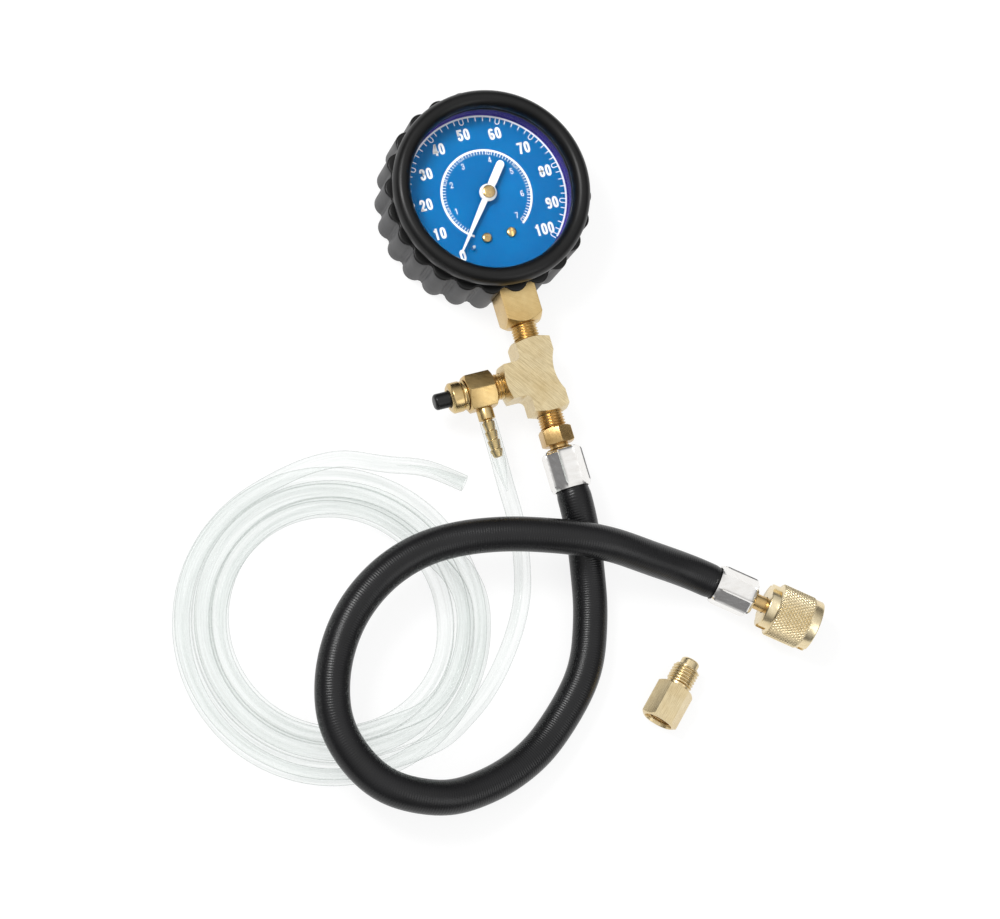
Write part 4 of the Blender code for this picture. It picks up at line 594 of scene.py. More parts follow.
def inner_thread(name, matrix, low, high, bore, outer, pitch, depth, count, steps, body="tester"):
    """Threaded sleeve that lines a bore."""
    rows = []
    for row in range(count + 1):
        height = low + (high - low) * row / count
        waves = [abs((height / pitch - index / steps) % 1.0 * 2 - 1) for index in range(steps)]
        rows.append(hoop([bore - depth * clamped(1.1 - wave * 1.3) for wave in waves], height, matrix))
    rows += [hoop([outer] * steps, height, matrix) for height in (high, low)]
    shape = bmesh.new()
    grid(shape, rows + rows[:1])
    bmesh.ops.remove_doubles(shape, verts=shape.verts, dist=MERGED)
    piece(name, finished(shape), "brass_warm", body=body)


# Cords


def distances(points):
    """Distance of each point along a line of points."""
    result = [0.0]
    for before, after in zip(points, points[1:]):
        result.append(result[-1] + (after - before).length)
    return result


def smooth_route(points, spacing):
    """Points at an even spacing along a smooth curve through the given ones."""
    guide = [Vector(point) for point in points]
    ends = [2 * guide[0] - guide[1]] + guide + [2 * guide[-1] - guide[-2]]
    fine = []
    for first, second, third, fourth in zip(ends, ends[1:], ends[2:], ends[3:]):
        for step in range(16):
            t = step / 16
            fine.append(0.5 * (2 * second + (third - first) * t
                               + (2 * first - 5 * second + 4 * third - fourth) * t * t
                               + (3 * second - first - 3 * third + fourth) * t * t * t))
    fine.append(guide[-1])
    lengths = distances(fine)
    count = max(2, round(lengths[-1] / spacing))
    result = []
    at = 0
    for index in range(count + 1):
        wanted = lengths[-1] * index / count
        while at < len(lengths) - 2 and lengths[at + 1] < wanted:
            at += 1
        share = (wanted - lengths[at]) / (lengths[at + 1] - lengths[at])
        result.append(fine[at].lerp(fine[at + 1], share))
    return result


def eased(points, rounds):
    """Points drawn towards their neighbours' middle, ends kept."""
    result = [point.copy() for point in points]
    for _ in range(rounds):
        moved = [point.copy() for point in result]
        for index in range(1, len(result) - 1):
            moved[index] = result[index] * 0.5 + (result[index - 1] + result[index + 1]) * 0.25
        result = moved
    return result


def swept_rings(points, radii, sides):
    """Rings round a line of points, without twist."""
    rings = []
    up = UP
    for index, point in enumerate(points):
        ahead = (points[min(len(points) - 1, index + 1)] - points[max(0, index - 1)]).normalized()
        up = (up - ahead * up.dot(ahead)).normalized()
        side = ahead.cross(up)
        angles = [math.tau * place / sides for place in range(sides)]
        rings.append([point + (side * math.cos(angle) + up * math.sin(angle)) * radii[index]
                      for angle in angles])
    return rings


def tube_mesh(rings, along):
    """Closed mesh through rings, with the angle and the length in its UV map."""
    sides = len(rings[0])
    shape = bmesh.new()
    uv = shape.loops.layers.uv.new("UVMap")
    made = grid(shape, rings)
    for count, face in enumerate(shape.faces):
        row, index = divmod(count, sides)
        corners = ((index, row), (index + 1, row), (index + 1, row + 1), (index, row + 1))
        for loop, (place, at) in zip(face.loops, corners):
            loop[uv].uv = (place / sides, along[at])
    capped(shape, made)
    return finished(shape)


HOSE_MOUTH = Vector((0.0, -0.1173, 0.0145))
HOSE_ROUTE = (
    (0.0, -0.1280, 0.0133), (-0.0004, -0.1375, 0.0107), (-0.0016, -0.1480, 0.0080),
    (-0.0052, -0.1645, 0.0068), (-0.0145, -0.1850, 0.0068), (-0.0340, -0.2035, 0.0072),
    (-0.0506, -0.2120, 0.0095), (-0.0680, -0.2155, 0.0130), (-0.0825, -0.2145, 0.0166),
    (-0.0995, -0.2062, 0.0195), (-0.1085, -0.1937, 0.0200), (-0.1122, -0.1785, 0.0200),
    (-0.1092, -0.1632, 0.0200), (-0.1022, -0.1498, 0.0200), (-0.0925, -0.1390, 0.0200),
    (-0.0794, -0.1305, 0.0200), (-0.0643, -0.1257, 0.0202), (-0.0486, -0.1252, 0.0208),
    (-0.0315, -0.1282, 0.0228), (-0.0162, -0.1330, 0.0242), (-0.0040, -0.1376, 0.0245),
    (0.0075, -0.1428, 0.0226), (0.0200, -0.1496, 0.0174), (0.0310, -0.1553, 0.0124),
    (0.0378, -0.1595, 0.0106),
)
COUPLING_AT = Vector((0.0448, -0.1650, 0.0104))
COUPLING_HEADING = math.radians(-38.6)
COUPLING_WAY = Vector((math.cos(COUPLING_HEADING), math.sin(COUPLING_HEADING), 0))
HOSE_RADIUS = 0.0065

LEAD_ROUTE = (
    (-0.0237, -0.1040, 0.0124), (-0.0226, -0.1110, 0.0080), (-0.0216, -0.1185, 0.0046),
    (-0.0218, -0.1270, 0.0035), (-0.0236, -0.1368, 0.0034), (-0.0266, -0.1480, 0.0034),
    (-0.0317, -0.1583, 0.0034), (-0.0388, -0.1684, 0.0034), (-0.0470, -0.1776, 0.0034),
    (-0.0560, -0.1852, 0.0034),
)
TAIL_ROUTE = (
    (-0.0642, -0.0901, 0.0090), (-0.0560, -0.0922, 0.0073), (-0.0486, -0.0948, 0.0052),
    (-0.0424, -0.0988, 0.0037), (-0.0366, -0.1032, 0.0034),
)
BARB_X = -0.0240
BARB_END = -0.0983
TUBE_RADIUS = 0.003175
TUBE_BORE = 0.00205
COIL_CENTRE = Vector((-0.0998, -0.1410, 0))
BARB_LENGTH = 0.0144
SLEEVE_BORE = 0.00246
FERRULE_END = COUPLING_AT + COUPLING_WAY * 0.0160


def make_hose():
    """Black hose between the two ferrules, a tube with its crimped ends inside them."""
    squeezed, sides, first_spacing, spacing = 0.0061, 48, 0.0016, 0.0013
    near = [HOSE_MOUTH - DOWNWARDS * 0.0030, HOSE_MOUTH - DOWNWARDS * 0.0015, HOSE_MOUTH,
            HOSE_MOUTH + DOWNWARDS * 0.00325]
    far = [COUPLING_AT + COUPLING_WAY * step for step in (-0.00355, 0.0, 0.0015, 0.0030)]
    middle = smooth_route([near[-1], *HOSE_ROUTE, far[0]], first_spacing)
    points = near[:-1] + eased(middle, 10) + far[1:]
    points = eased(smooth_route(points, spacing), 4)
    along = distances(points)
    radii = []
    for distance in along:
        share = clamped((min(distance, along[-1] - distance) - 0.0028) / 0.0030)
        radii.append(squeezed + (HOSE_RADIUS - squeezed) * share * share * (3 - 2 * share))
    mesh = tube_mesh(swept_rings(points, radii, sides), along)
    hose = piece("hose_cover", mesh, "hose_rubber", "hose", "hose_end_near", "hose_end_far", crease=60.0)
    return hose, points


def bent(swept, value, bends):
    """Value after S-bends of (start, end, before, after), the first two in degrees swept."""
    for start, end, before, after in bends:
        if swept >= end:
            value = after
        elif swept >= start:
            share = (swept - start) / (end - start)
            value = before + (after - before) * (0.5 - 0.5 * math.cos(math.pi * share))
    return value


def coil_points():
    """The drain tube's coil: clockwise from above, three slots wide and two high.

    Each slot change is an S-bend. A strand leaves its slot before the next one moves in.
    """
    arriving, outer, middle, inner, leaving = 0.0622, 0.05532, 0.04894, 0.04256, 0.0621
    low, high, last_height = 0.00325, 0.00962, 0.0090
    first_angle, last, count = -45.3, 2059.7, 420
    loose_from, loose_to, loosest = 1764, 2008, 0.0030
    radius_bends = ((0, 42, arriving, outer), (360, 400, outer, middle), (720, 760, middle, inner),
                    (1366, 1404, inner, middle), (1726, loose_from, middle, outer),
                    (loose_to, last, outer, leaving))
    height_bends = ((1044, 1084, low, high), (2028, last, high, last_height))
    points = []
    for index in range(count + 1):
        swept = last * index / count
        radius = bent(swept, arriving, radius_bends)
        height = bent(swept, low, height_bends)
        # The last turn lies a little outwards on the left, in the step beside the strand below
        if loose_from < swept < loose_to:
            share = (swept - loose_from) / (loose_to - loose_from)
            drift = loosest * max(0.0, math.sin(math.pi * share)) ** 2
            radius += drift
            height = low + math.sqrt((2.01 * TUBE_RADIUS) ** 2 - drift ** 2)
        angle = math.radians(first_angle - swept)
        points.append(COIL_CENTRE + Vector((radius * math.cos(angle), radius * math.sin(angle), height)))
    return points


def make_drain_tube():
    """Clear drain tube from the barb to its open end, in one piece, bored where its ends are seen."""
    step, sides, point = 0.0020, 28, 0.12
    mouth = BARB_END + BARB_LENGTH - 0.0003
    tip = BARB_END - 0.0003
    start = [Vector((BARB_X, mouth, AXIS_Z)), Vector((BARB_X, (mouth + tip) / 2, AXIS_Z)),
             Vector((BARB_X, tip, AXIS_Z - 0.0003))]
    coil = coil_points()
    lead = smooth_route(start + [Vector(place) for place in LEAD_ROUTE[:-1]] + [coil[0], coil[3]], step)
    while (lead[-1] - coil[3]).length < 0.0035 and len(lead) > 4:
        lead.pop()
    tail = smooth_route([coil[-4], coil[-1]] + [Vector(place) for place in TAIL_ROUTE[1:]], step)
    while (tail[0] - coil[-4]).length < 0.0035 and len(tail) > 4:
        tail.pop(0)
    points = smooth_route(lead + coil[3:-3] + tail, step)
    covered = round((mouth - tip) / step) + 1
    points = points[:covered] + eased(points[covered - 1:], 6)[1:]
    # Each bore narrows to a point inside the rod, so that no flat end shows through the clear wall
    past = covered + 7
    at_barb = [SLEEVE_BORE * min(1.0, (past - at) / 7) for at in range(past)]
    at_end = [TUBE_BORE * (1.0 if at > 12 else max(point, at / 13)) for at in range(15)]
    over_barb = swept_rings(points[:past], at_barb, sides)
    outer = swept_rings(points, [TUBE_RADIUS] * len(points), sides)
    open_bore = swept_rings(points[-15:], at_end, sides)
    rings = over_barb[::-1] + outer + open_bore[::-1]
    mesh = tube_mesh(rings, [step * row for row in range(len(rings))])
    tube = piece("drain_tube", mesh, "clear_vinyl", "bleed_tube_lead", "bleed_tube_coil", "bleed_tube_tail",
                 crease=60.0)
    return tube, points


# Gauge

LOBES = 24
BOOT_TOP = 0.0222
DIAL_FACE = 0.0180
PRINT_LOW = DIAL_FACE - 0.00002
PRINT_HIGH = DIAL_FACE + 0.00006
ZERO_ANGLE = -129.0
FULL_TURN = 276.0


def boot_radius(degrees):
    """Outer radius of the boot's grip in a direction."""
    crest, valley, flat = 0.0402, 0.0381, 2.8
    pitch = 360.0 / LOBES
    half = math.radians((pitch - flat) / 2)
    chord = 2 * valley * math.sin(half)
    rise = crest - valley * math.cos(half)
    lobe = (chord * chord / 4 + rise * rise) / (2 * rise)
    centre = crest - lobe
    off = math.radians((degrees + pitch / 2) % pitch - pitch / 2)
    if abs(off) > half:
        middle = math.radians(pitch / 2)
        return valley * math.cos(middle - half) / math.cos(middle - abs(off))
    return centre * math.cos(off) + math.sqrt(lobe ** 2 - (centre * math.sin(off)) ** 2)


def boot_line(degrees):
    """Section of the boot in a direction: back, grip, neck, bead and cavity."""
    edge, neck, lip, cavity, floor = 0.0009, 0.0369, 0.0315, 0.0339, 0.0020
    bead_at, bead_z, bead, tall = 0.0348, 0.0273, 0.0034, 0.0042
    pitch = 360.0 / LOBES
    groove = 0.00025 if abs((degrees + pitch / 2) % pitch) < 0.1 else 0.0
    outer = boot_radius(degrees) - groove
    round_off = min(edge, (outer - neck) * 0.9)
    line = [(0.010, 0.0), (0.030, 0.0), (outer - round_off, 0.0)]
    line += arc((outer - round_off, edge), round_off, edge, -67.5, 0, 3)
    line += [(outer, BOOT_TOP * share) for share in (0.25, 0.5, 0.75)]
    line += arc((outer - round_off, BOOT_TOP - edge), round_off, edge, 0, 90, 4)
    line += [(neck + 0.0002, BOOT_TOP), (neck, BOOT_TOP + 0.0002), (neck, BOOT_TOP + 0.0016)]
    line += arc((bead_at, bead_z), bead, tall, -50, 180, 16)
    return line + [(lip, 0.0270), (cavity, 0.0270), (cavity, floor + 0.0001), (cavity - 0.0001, floor),
                   (0.010, floor)]


def make_boot():
    """Rubber boot in one mesh: lobed grip, flat lobe faces, rounded bead, cavity and stem slot."""
    offsets = [-6.2, -6.05, -5.6, -4.7, -3.6, -2.4, -1.2, 0.0, 1.2, 2.4, 3.6, 4.7, 5.6, 6.05, 6.2,
               6.55, 7.5, 8.45]
    columns = []
    for lobe in range(LOBES):
        for offset in offsets:
            degrees = 360.0 / LOBES * lobe + offset
            unit = Vector((*on_dial(1.0, degrees), 0))
            columns.append([unit * radius + UP * height for radius, height in boot_line(degrees)])
    shape = bmesh.new()
    capped(shape, grid(shape, zip(*columns)))
    slot = box_mesh((0.0146, 0.0126, 0.0146), (0, -0.0371, AXIS_Z))
    mesh = carved(finished(shape), [slot])
    obj = piece("boot_cover", mesh, ("boot_rubber", "bead_rubber"), "boot", crease=28.0)
    for face in obj.data.polygons:
        x, y, z = face.center
        on_top = z > BOOT_TOP + 0.0001 or (z > BOOT_TOP - 0.0005 and face.normal.z > 0.5)
        if on_top or math.hypot(x, y) < 0.0345:
            face.material_index = 1


def on_dial(radius, degrees):
    """Point of the dial in polar form."""
    return (radius * math.cos(math.radians(degrees)), radius * math.sin(math.radians(degrees)))


def stroke(shape, points, width, closed=False):
    """Add a flat ribbon of print along points of the dial, as a thin solid."""
    line = [Vector((point[0], point[1], 0)) for point in points]
    rows = []
    for index, point in enumerate(line):
        before = line[index - 1] if index or closed else point
        after = line[(index + 1) % len(line)] if index < len(line) - 1 or closed else point
        ahead = (after - before).normalized()
        side = Vector((-ahead.y, ahead.x, 0)) * width / 2
        left, right = point + side, point - side
        rows.append([left + UP * PRINT_LOW, left + UP * PRINT_HIGH, right + UP * PRINT_HIGH,
                     right + UP * PRINT_LOW])
    if closed:
        grid(shape, rows + rows[:1])
    else:
        capped(shape, grid(shape, rows))


def oval(middle, wide, tall, steps, power=1.0):
    """Closed oval in hundredths, squarer with a smaller power."""
    result = []
    for step in range(steps):
        x, y = math.cos(math.tau * step / steps), math.sin(math.tau * step / steps)
        result.append((50 + wide * math.copysign(abs(x) ** power, x),
                       middle + tall * math.copysign(abs(y) ** power, y)))
    return result


def figures():
    """Centre lines of the digits in a box of 100 by 100: (points, closed, how far each end runs on)."""
    six = [(95, 84), (82, 96), (56, 100), (28, 97), (7, 84), (0, 62), (0, 34), (6, 13), (25, 1), (50, 0),
           (76, 2), (95, 13), (100, 28), (93, 43), (74, 51), (48, 52), (22, 45), (5, 33)]
    nine = [(100 - x, 100 - y) for x, y in six]
    two = [(3, 70), (7, 88), (26, 99), (52, 100), (80, 96), (97, 82), (96, 66), (82, 50), (48, 30), (18, 12),
           (10, 0)]
    three_top = [(4, 74), (10, 91), (30, 100), (58, 100), (86, 92), (95, 77), (84, 61), (58, 53), (38, 53)]
    three_low = [(38, 53), (62, 53), (90, 43), (100, 26), (88, 7), (58, 0), (30, 0), (8, 10), (2, 27)]
    five = [(6, 52), (28, 62), (58, 63), (88, 54), (100, 33), (92, 10), (62, 0), (32, 0), (8, 10), (2, 25)]
    return {
        "0": [(oval(50, 50, 50, 28, 0.75), True, (0, 0))],
        "1": [([(62, 0), (62, 100)], False, (0.5, 0.5)), ([(60, 93), (10, 80)], False, (0, 0.2))],
        "2": [(two, False, (0.2, 0.3)), ([(0, 0), (100, 0)], False, (0.5, 0.5))],
        "3": [(three_top, False, (0.2, 0)), (three_low, False, (0, 0.2))],
        "4": [([(74, 0), (74, 100)], False, (0.5, 0.5)), ([(68, 100), (0, 28)], False, (0.2, 0.1)),
              ([(0, 25), (100, 25)], False, (0.5, 0.5))],
        "5": [([(95, 100), (12, 100)], False, (0.4, 0.5)), ([(12, 100), (6, 50)], False, (0, 0.2)),
              (five, False, (0.2, 0.2))],
        "6": [(six, False, (0, 0.2))],
        "7": [([(0, 100), (100, 100)], False, (0.5, 0.5)),
              ([(98, 100), (70, 62), (48, 28), (40, 0)], False, (0.2, 0.5))],
        "8": [(oval(76.5, 45, 23.5, 20), True, (0, 0)), (oval(26.5, 50, 26.5, 20), True, (0, 0))],
        "9": [(nine, False, (0, 0.2))],
    }


def number(shape, text, centre, height, width, weight, gap):
    """Add a printed number with upright narrow digits, as thin solid strokes centred on a point."""
    digits = figures()
    start = centre[0] - (len(text) * width + (len(text) - 1) * gap) / 2
    bottom = centre[1] - height / 2 + weight / 2
    for place, digit in enumerate(text):
        left = start + place * (width + gap) + weight / 2
        for points, closed, ends in digits[digit]:
            line = [Vector((left + x / 100 * (width - weight), bottom + y / 100 * (height - weight)))
                    for x, y in points]
            if not closed:
                line[0] += (line[0] - line[1]).normalized() * weight * ends[0]
                line[-1] += (line[-1] - line[-2]).normalized() * weight * ends[1]
            stroke(shape, line, weight, closed)


def scale_marks(shape, marks, step, long_every, short, long):
    """Add the marks of a scale: plain strokes, and narrow loops at the numbers with a round inner end."""
    for mark in marks:
        degrees = ZERO_ANGLE - step * mark
        if mark % long_every:
            outer, inner, width = short
            stroke(shape, [on_dial(outer, degrees), on_dial(inner, degrees)], width)
            continue
        outer, inner, half, width = long
        unit = Vector((*on_dial(1.0, degrees), 0))
        across = Vector((-unit.y, unit.x, 0)) * half
        line = [unit * outer - across, unit * inner - across]
        for turn in range(20, 180, 20):
            angle = math.radians(turn)
            line.append(unit * (inner - half * math.sin(angle)) - across * math.cos(angle))
        stroke(shape, line + [unit * inner + across, unit * outer + across], width)


def make_dial():
    """Blue dished dial with its rim wall in a darker violet that paints the shade falling there, and its
    white print: two scales with loops, ticks and plain numbers.
    """
    face, rim, lip, hole = DIAL_FACE, 0.0324, 0.0230, 0.0024
    dish = turned("dial_face", [
        (hole, face), (rim - 0.0012, face), (rim - 0.0006, face + 0.0006), (rim - 0.0006, lip), (rim, lip),
        (rim, face + 0.0003), (rim - 0.0009, face - 0.0006), (hole, face - 0.0006)],
        ("dial_blue", "dial_rim_painted_shade"), "dial_plate", steps=128, ring=True, soft=0.0003)
    # The dish's rim wall takes the darker violet look, a painted shade
    for side in dish.data.polygons:
        side.material_index = 1 if math.hypot(side.center.x, side.center.y) > 0.03115 else 0

    shape = bmesh.new()
    stroke(shape, [on_dial(0.03088, ZERO_ANGLE - FULL_TURN * step / 160) for step in range(161)], 0.00075)
    scale_marks(shape, range(51), FULL_TURN / 50, 5, (0.0306, 0.0289, 0.00036),
                (0.0308, 0.0291, 0.00078, 0.00034))
    stroke(shape, [on_dial(0.01738, -122.0 - 291.0 * step / 140) for step in range(141)], 0.00082)
    scale_marks(shape, range(1, 71), 4.003, 10, (0.0171, 0.0157, 0.00027),
                (0.0171, 0.0163, 0.00052, 0.00020))
    # Value, distance from the centre in millimetres and angle of each large number
    places = ((0, 26.1, -127), (10, 24.4, -154), (20, 23.9, 177), (30, 24.2, 148), (40, 24.8, 122),
              (50, 24.6, 95), (60, 24.5, 66), (70, 24.2, 37), (80, 25.1, 9), (90, 25.4, -20),
              (100, 25.4, -45))
    for value, radius, degrees in places:
        number(shape, str(value), on_dial(radius / 1000, degrees), 0.0045, 0.00225, 0.00086, 0.00038)
    for value, degrees in enumerate((-164, 152, 115, 68.5, 29, -11, -49), 1):
        number(shape, str(value), on_dial(0.0138, degrees), 0.0023, 0.0012, 0.00026, 0.0)
    piece("dial_print", finished(shape), "white_paint")

    for index, side in enumerate((-1, 1)):
        at = Vector((side * 0.0049, -0.0164, 0))
        head = turned_mesh(soften([
            (0, 0.01945), (0.0012, 0.01938), (0.0017, 0.01915), (0.0019, 0.0188), (0.0019, 0.0183),
            (0.0006, 0.0183), (0.0006, 0.0162), (0, 0.0162)], 0.0001, 2), axis_frame(at), 40)
        turn = axis_frame(at + UP * 0.0194) @ spin(25 + 60 * index)
        cut = box_mesh((0.005, 0.0005, 0.0009), (0, 0, 0), turn)
        piece(f"dial_screw_{index + 1}_head", carved(head, [cut]), "brass_turned", f"dial_screw_{index + 1}")
    pin, foot, foot_z = 0.0006, 0.0012, 0.0171
    turned("stop_pin_round", [
        (0, 0.0207), (pin, 0.0207), (pin, foot_z), (foot, foot_z), (foot, foot_z - 0.0005),
        (0, foot_z - 0.0005)],
        "steel", "stop_pin", at=(*on_dial(0.0223, -120.5), 0), steps=32, soft=0.00015)


def make_pointer():
    """White pointer with a tapered end, rounded tail and boss, and its slotted brass cap."""
    base, thick, boss, cap_low = 0.0200, 0.0007, 0.0034, 0.0217
    tip, root, tail = 0.0004, 0.0011, 0.00155
    line = [(0.0264, -tip * 0.7), (0.0266, 0), (0.0264, tip * 0.7), (0.006, root), (0, root),
            (-0.0049, tail)]
    line += arc((tail - 0.0140, 0), tail, tail, 90, 270, 12)
    line += [(-0.0049, -tail), (0, -root), (0.006, -root)]
    shape = reopened(carved(extruded(line, base, base + thick, spin(ZERO_ANGLE)), bevel=0.00012, angle=35))
    round_boss = soften([(0.0009, base + 0.0014), (0.0028, base + 0.0014), (boss, base + 0.0009),
                         (boss, base + 0.0001), (0.0009, base + 0.0001)], 0.0003, 4, True)
    lathe(shape, round_boss, axis_frame((0, 0, 0)), 64, True)
    piece("pointer_blade", finished(shape), "white_paint", "pointer", body="pointer")
    cap = turned_mesh(soften([
        (0, cap_low + 0.00092), (0.0016, cap_low + 0.0009), (0.0025, cap_low + 0.0006), (0.0025, cap_low),
        (0, cap_low)], 0.0002), axis_frame((0, 0, 0)), 56)
    slot = box_mesh((0.0075, 0.0005, 0.0008), (0, 0, cap_low + 0.0009), spin(40))
    piece("pointer_cap_round", carved(cap, [slot]), "brass_turned", "pointer_cap", body="pointer")


def make_lens():
    """Clear round lens under the boot's lip."""
    radius, low, high = 0.0336, 0.0249, 0.0267
    turned("lens_disc", [(0, high), (radius, high), (radius, low), (0, low)], "clear_lens", "lens",
           steps=128, soft=0.0003)


# Fittings


def make_socket():
    """Brass socket: square with its turned end, pipe thread, and the neck and block inside the case."""
    down = axis_frame((0, -0.0339, AXIS_Z), DOWNWARDS)
    shape = bar(4, 0.0140, 0.0179, down, 0.0003, (0.0099, 0.0066), 0.80, 24, segments=3)
    thread(shape, *PIPE_THREAD, 0.0170, 0.0301, down)
    lathe(shape, [(0, -0.0012), (0.0058, -0.0012), (0.0058, 0.0002), (0, 0.0002)], down, 48)
    boxed(shape, (0.0187, 0.0098, 0.0116), (0, -0.0259, 0.0110))
    piece("socket_fitting", finished(shape), "brass", "socket_stem")


def make_tee():
    """Brass tee: extruded form with a waist and fillets, turned cones at its ports, and plain bores for the
    pipe threads.
    """
    half, fillet, run, top, boss, waist, thick = 0.0068, 0.0022, 0.0300, -0.0575, 0.0072, 0.0048, 0.0134
    cone, bore, passage = 0.0053, 0.00506, 0.0032
    bottom = top - run
    left = -half - fillet
    recess = run / 2 - boss
    depth = half - waist
    radius = (recess ** 2 + depth ** 2) / (2 * depth)
    sweep = math.degrees(math.asin(recess / radius))
    line = [(-half, bottom), (half, bottom)]
    line += arc((waist + radius, TEE_Y), radius, radius, 180 + sweep, 180 - sweep, 24)
    line += [(half, top), (-half, top)]
    line += arc((left, TEE_Y + half + fillet), fillet, fillet, 0, -90, 10)
    line += [(ARM_X, TEE_Y + half), (ARM_X, TEE_Y - half)]
    line += arc((left, TEE_Y - half - fillet), fillet, fillet, 90, 0, 10)
    cuts = []
    for at, outward in (((0, top), (0, 1, 0)), ((0, bottom), DOWNWARDS), ((ARM_X, TEE_Y), LEFTWARDS)):
        port = axis_frame((*at, AXIS_Z), outward)
        cuts.append(turned_mesh([(cone, 0), (cone, 0.0010), (0.0120, 0.0010), (0.0120, -0.0021),
                                 (0.00955, -0.0017)], port, 96, True))
        cuts.append(turned_mesh([(0, 0.001), (bore, 0.001), (bore, -0.0075), (passage, -0.0090),
                                 (passage, -0.0150), (0, -0.0150)], port, 64))
    body = extruded(line, AXIS_Z - thick / 2, AXIS_Z + thick / 2)
    piece("tee_casting", carved(body, cuts, 0.00025, angle=35), "brass_tee", "tee_body")


def make_valve():
    """Bleed valve: threaded body with its hexagon and spigot, cap and black button."""
    out = axis_frame((-0.0186, TEE_Y, AXIS_Z), LEFTWARDS)
    shape = bar(6, 0.0134, 0.0109, out, 0.00022, bore=0.0041)
    thread(shape, *PIPE_THREAD, -0.0099, 0.0006, out)
    lathe(shape, [(0.0040, 0.0136), (0.00485, 0.0136), (0.00485, 0.0100), (0.0040, 0.0100)], out, 56, True)
    piece("valve_hexagon", finished(shape), "brass", "valve_body")
    cap, groove, bore, mouth = 0.00585, 0.0055, 0.00515, 0.0034
    turned("valve_cap_turned", [
        (mouth, 0.0063), (0.0048, 0.0063), (cap, 0.0054), (cap, 0.0018), (groove, 0.0014), (groove, 0.0007),
        (cap, 0.0003), (cap, 0), (bore, 0), (bore, 0.0049), (mouth, 0.0049)], "brass_turned", "valve_cap",
        at=(-0.0298, TEE_Y, AXIS_Z), way=LEFTWARDS, ring=True, soft=0.0003)
    button, foot = 0.0031, 0.0037
    turned("valve_button_cap", [
        (0, 0.00885), (0.0024, 0.0088), (button, 0.0081), (button, 0.0012), (foot, 0.0012), (foot, 0),
        (0, 0)],
        "black_plastic", "valve_button", at=(-0.0332, TEE_Y, AXIS_Z), way=LEFTWARDS, steps=64, soft=0.0004,
        body="valve_plunger")


def make_barb():
    """Drain barb in the valve's lower flat: spigot, collar and four rings."""
    bore, crest, root, rings = 0.0010, 0.0024, 0.0019, 4
    start_y = TEE_Y - 0.0043
    length = start_y - BARB_END
    pitch = BARB_LENGTH / rings
    line = [(bore, length), (0.0016, length)]
    for index in range(rings):
        rise = length - pitch * index
        line += [(crest, rise - pitch * 0.72), (crest, rise - pitch * 0.76), (root, rise - pitch * 0.86)]
    line += [(root, length - BARB_LENGTH), (0.0032, length - BARB_LENGTH - 0.0003), (0.0032, 0.0027),
             (0.0026, 0.0027), (0.0026, 0), (bore, 0)]
    turned("hose_barb_turned", line, "brass_turned", "hose_barb", at=(BARB_X, start_y, AXIS_Z),
           way=DOWNWARDS, steps=56, ring=True, soft=0.00012)


def ferrule(name, node, origin, direction):
    """Crimped ferrule: eight pressed flats with thin ridges between them, round at its open end."""
    length, flat, bore, hole, step, mouth_radius = 0.0160, 0.00705, 0.00645, 0.0039, 0.0010, 0.00728
    matrix = axis_frame(origin, direction)
    count = 8 * 14
    pitch = math.pi / 4
    reach = []
    for index in range(count):
        off = (math.tau * index / count + pitch / 2) % pitch - pitch / 2
        ridge = max(0.0, (abs(off) / (pitch / 2) - 0.80) / 0.20)
        reach.append(flat / math.cos(off) + 0.00022 * ridge ** 1.5)
    rows = [hoop([hole] * count, 0, matrix)]
    for height in (0.0, 0.0003, 0.0008, 0.0014, 0.0022, 0.0035, 0.0060, 0.0090, 0.0120, 0.0140, 0.0150,
                   0.0156, length):
        back = 0.0022 * max(0.0, 1.0 - height / 0.0024) ** 2.2
        mouth = max(0.0, (height - 0.0140) / 0.0020)
        rows.append(hoop([(at - back) * (1 - mouth) + mouth_radius * mouth for at in reach], height, matrix))
    rows += [hoop([radius] * count, height, matrix) for radius, height in
             ((bore, length), (bore, step), (hole, step))]
    shape = bmesh.new()
    made = grid(shape, rows)
    wall(shape, made[-1], made[0])
    piece(name, finished(shape), "nickel", node, crease=40.0)


def make_hose_fittings():
    """Nipple in the tee, the two ferrules, and the coupling's stem."""
    down = axis_frame((0, -0.0930, AXIS_Z), DOWNWARDS)
    shape = bar(6, 0.0114, 0.0065, down, 0.0002)
    thread(shape, *PIPE_THREAD, -0.0120, 0.0006, down)
    lathe(shape, soften([(0, 0.0240), (0.0026, 0.0240), (0.0026, 0.0088), (0.0036, 0.0088), (0.0036, 0.0060),
                         (0, 0.0060)], 0.0002, 2), down, 48)
    piece("nipple_hexagon", finished(shape), "brass_warm", "hose_nipple")
    ferrule("ferrule_near_crimped", "ferrule_near", (0, -0.1010, AXIS_Z), DOWNWARDS)
    ferrule("ferrule_far_crimped", "ferrule_far", FERRULE_END, -COUPLING_WAY)
    flange, stem, tail = 0.0071, 0.0030, 0.0026
    turned("coupling_stem_turned", [
        (0, 0.0113), (flange, 0.0113), (flange, 0.0083), (stem, 0.0083), (stem, -0.0013), (tail, -0.0013),
        (tail, -0.0150), (0, -0.0150)], "brass_warm", "coupling_stem", at=FERRULE_END, way=COUPLING_WAY,
        steps=56)


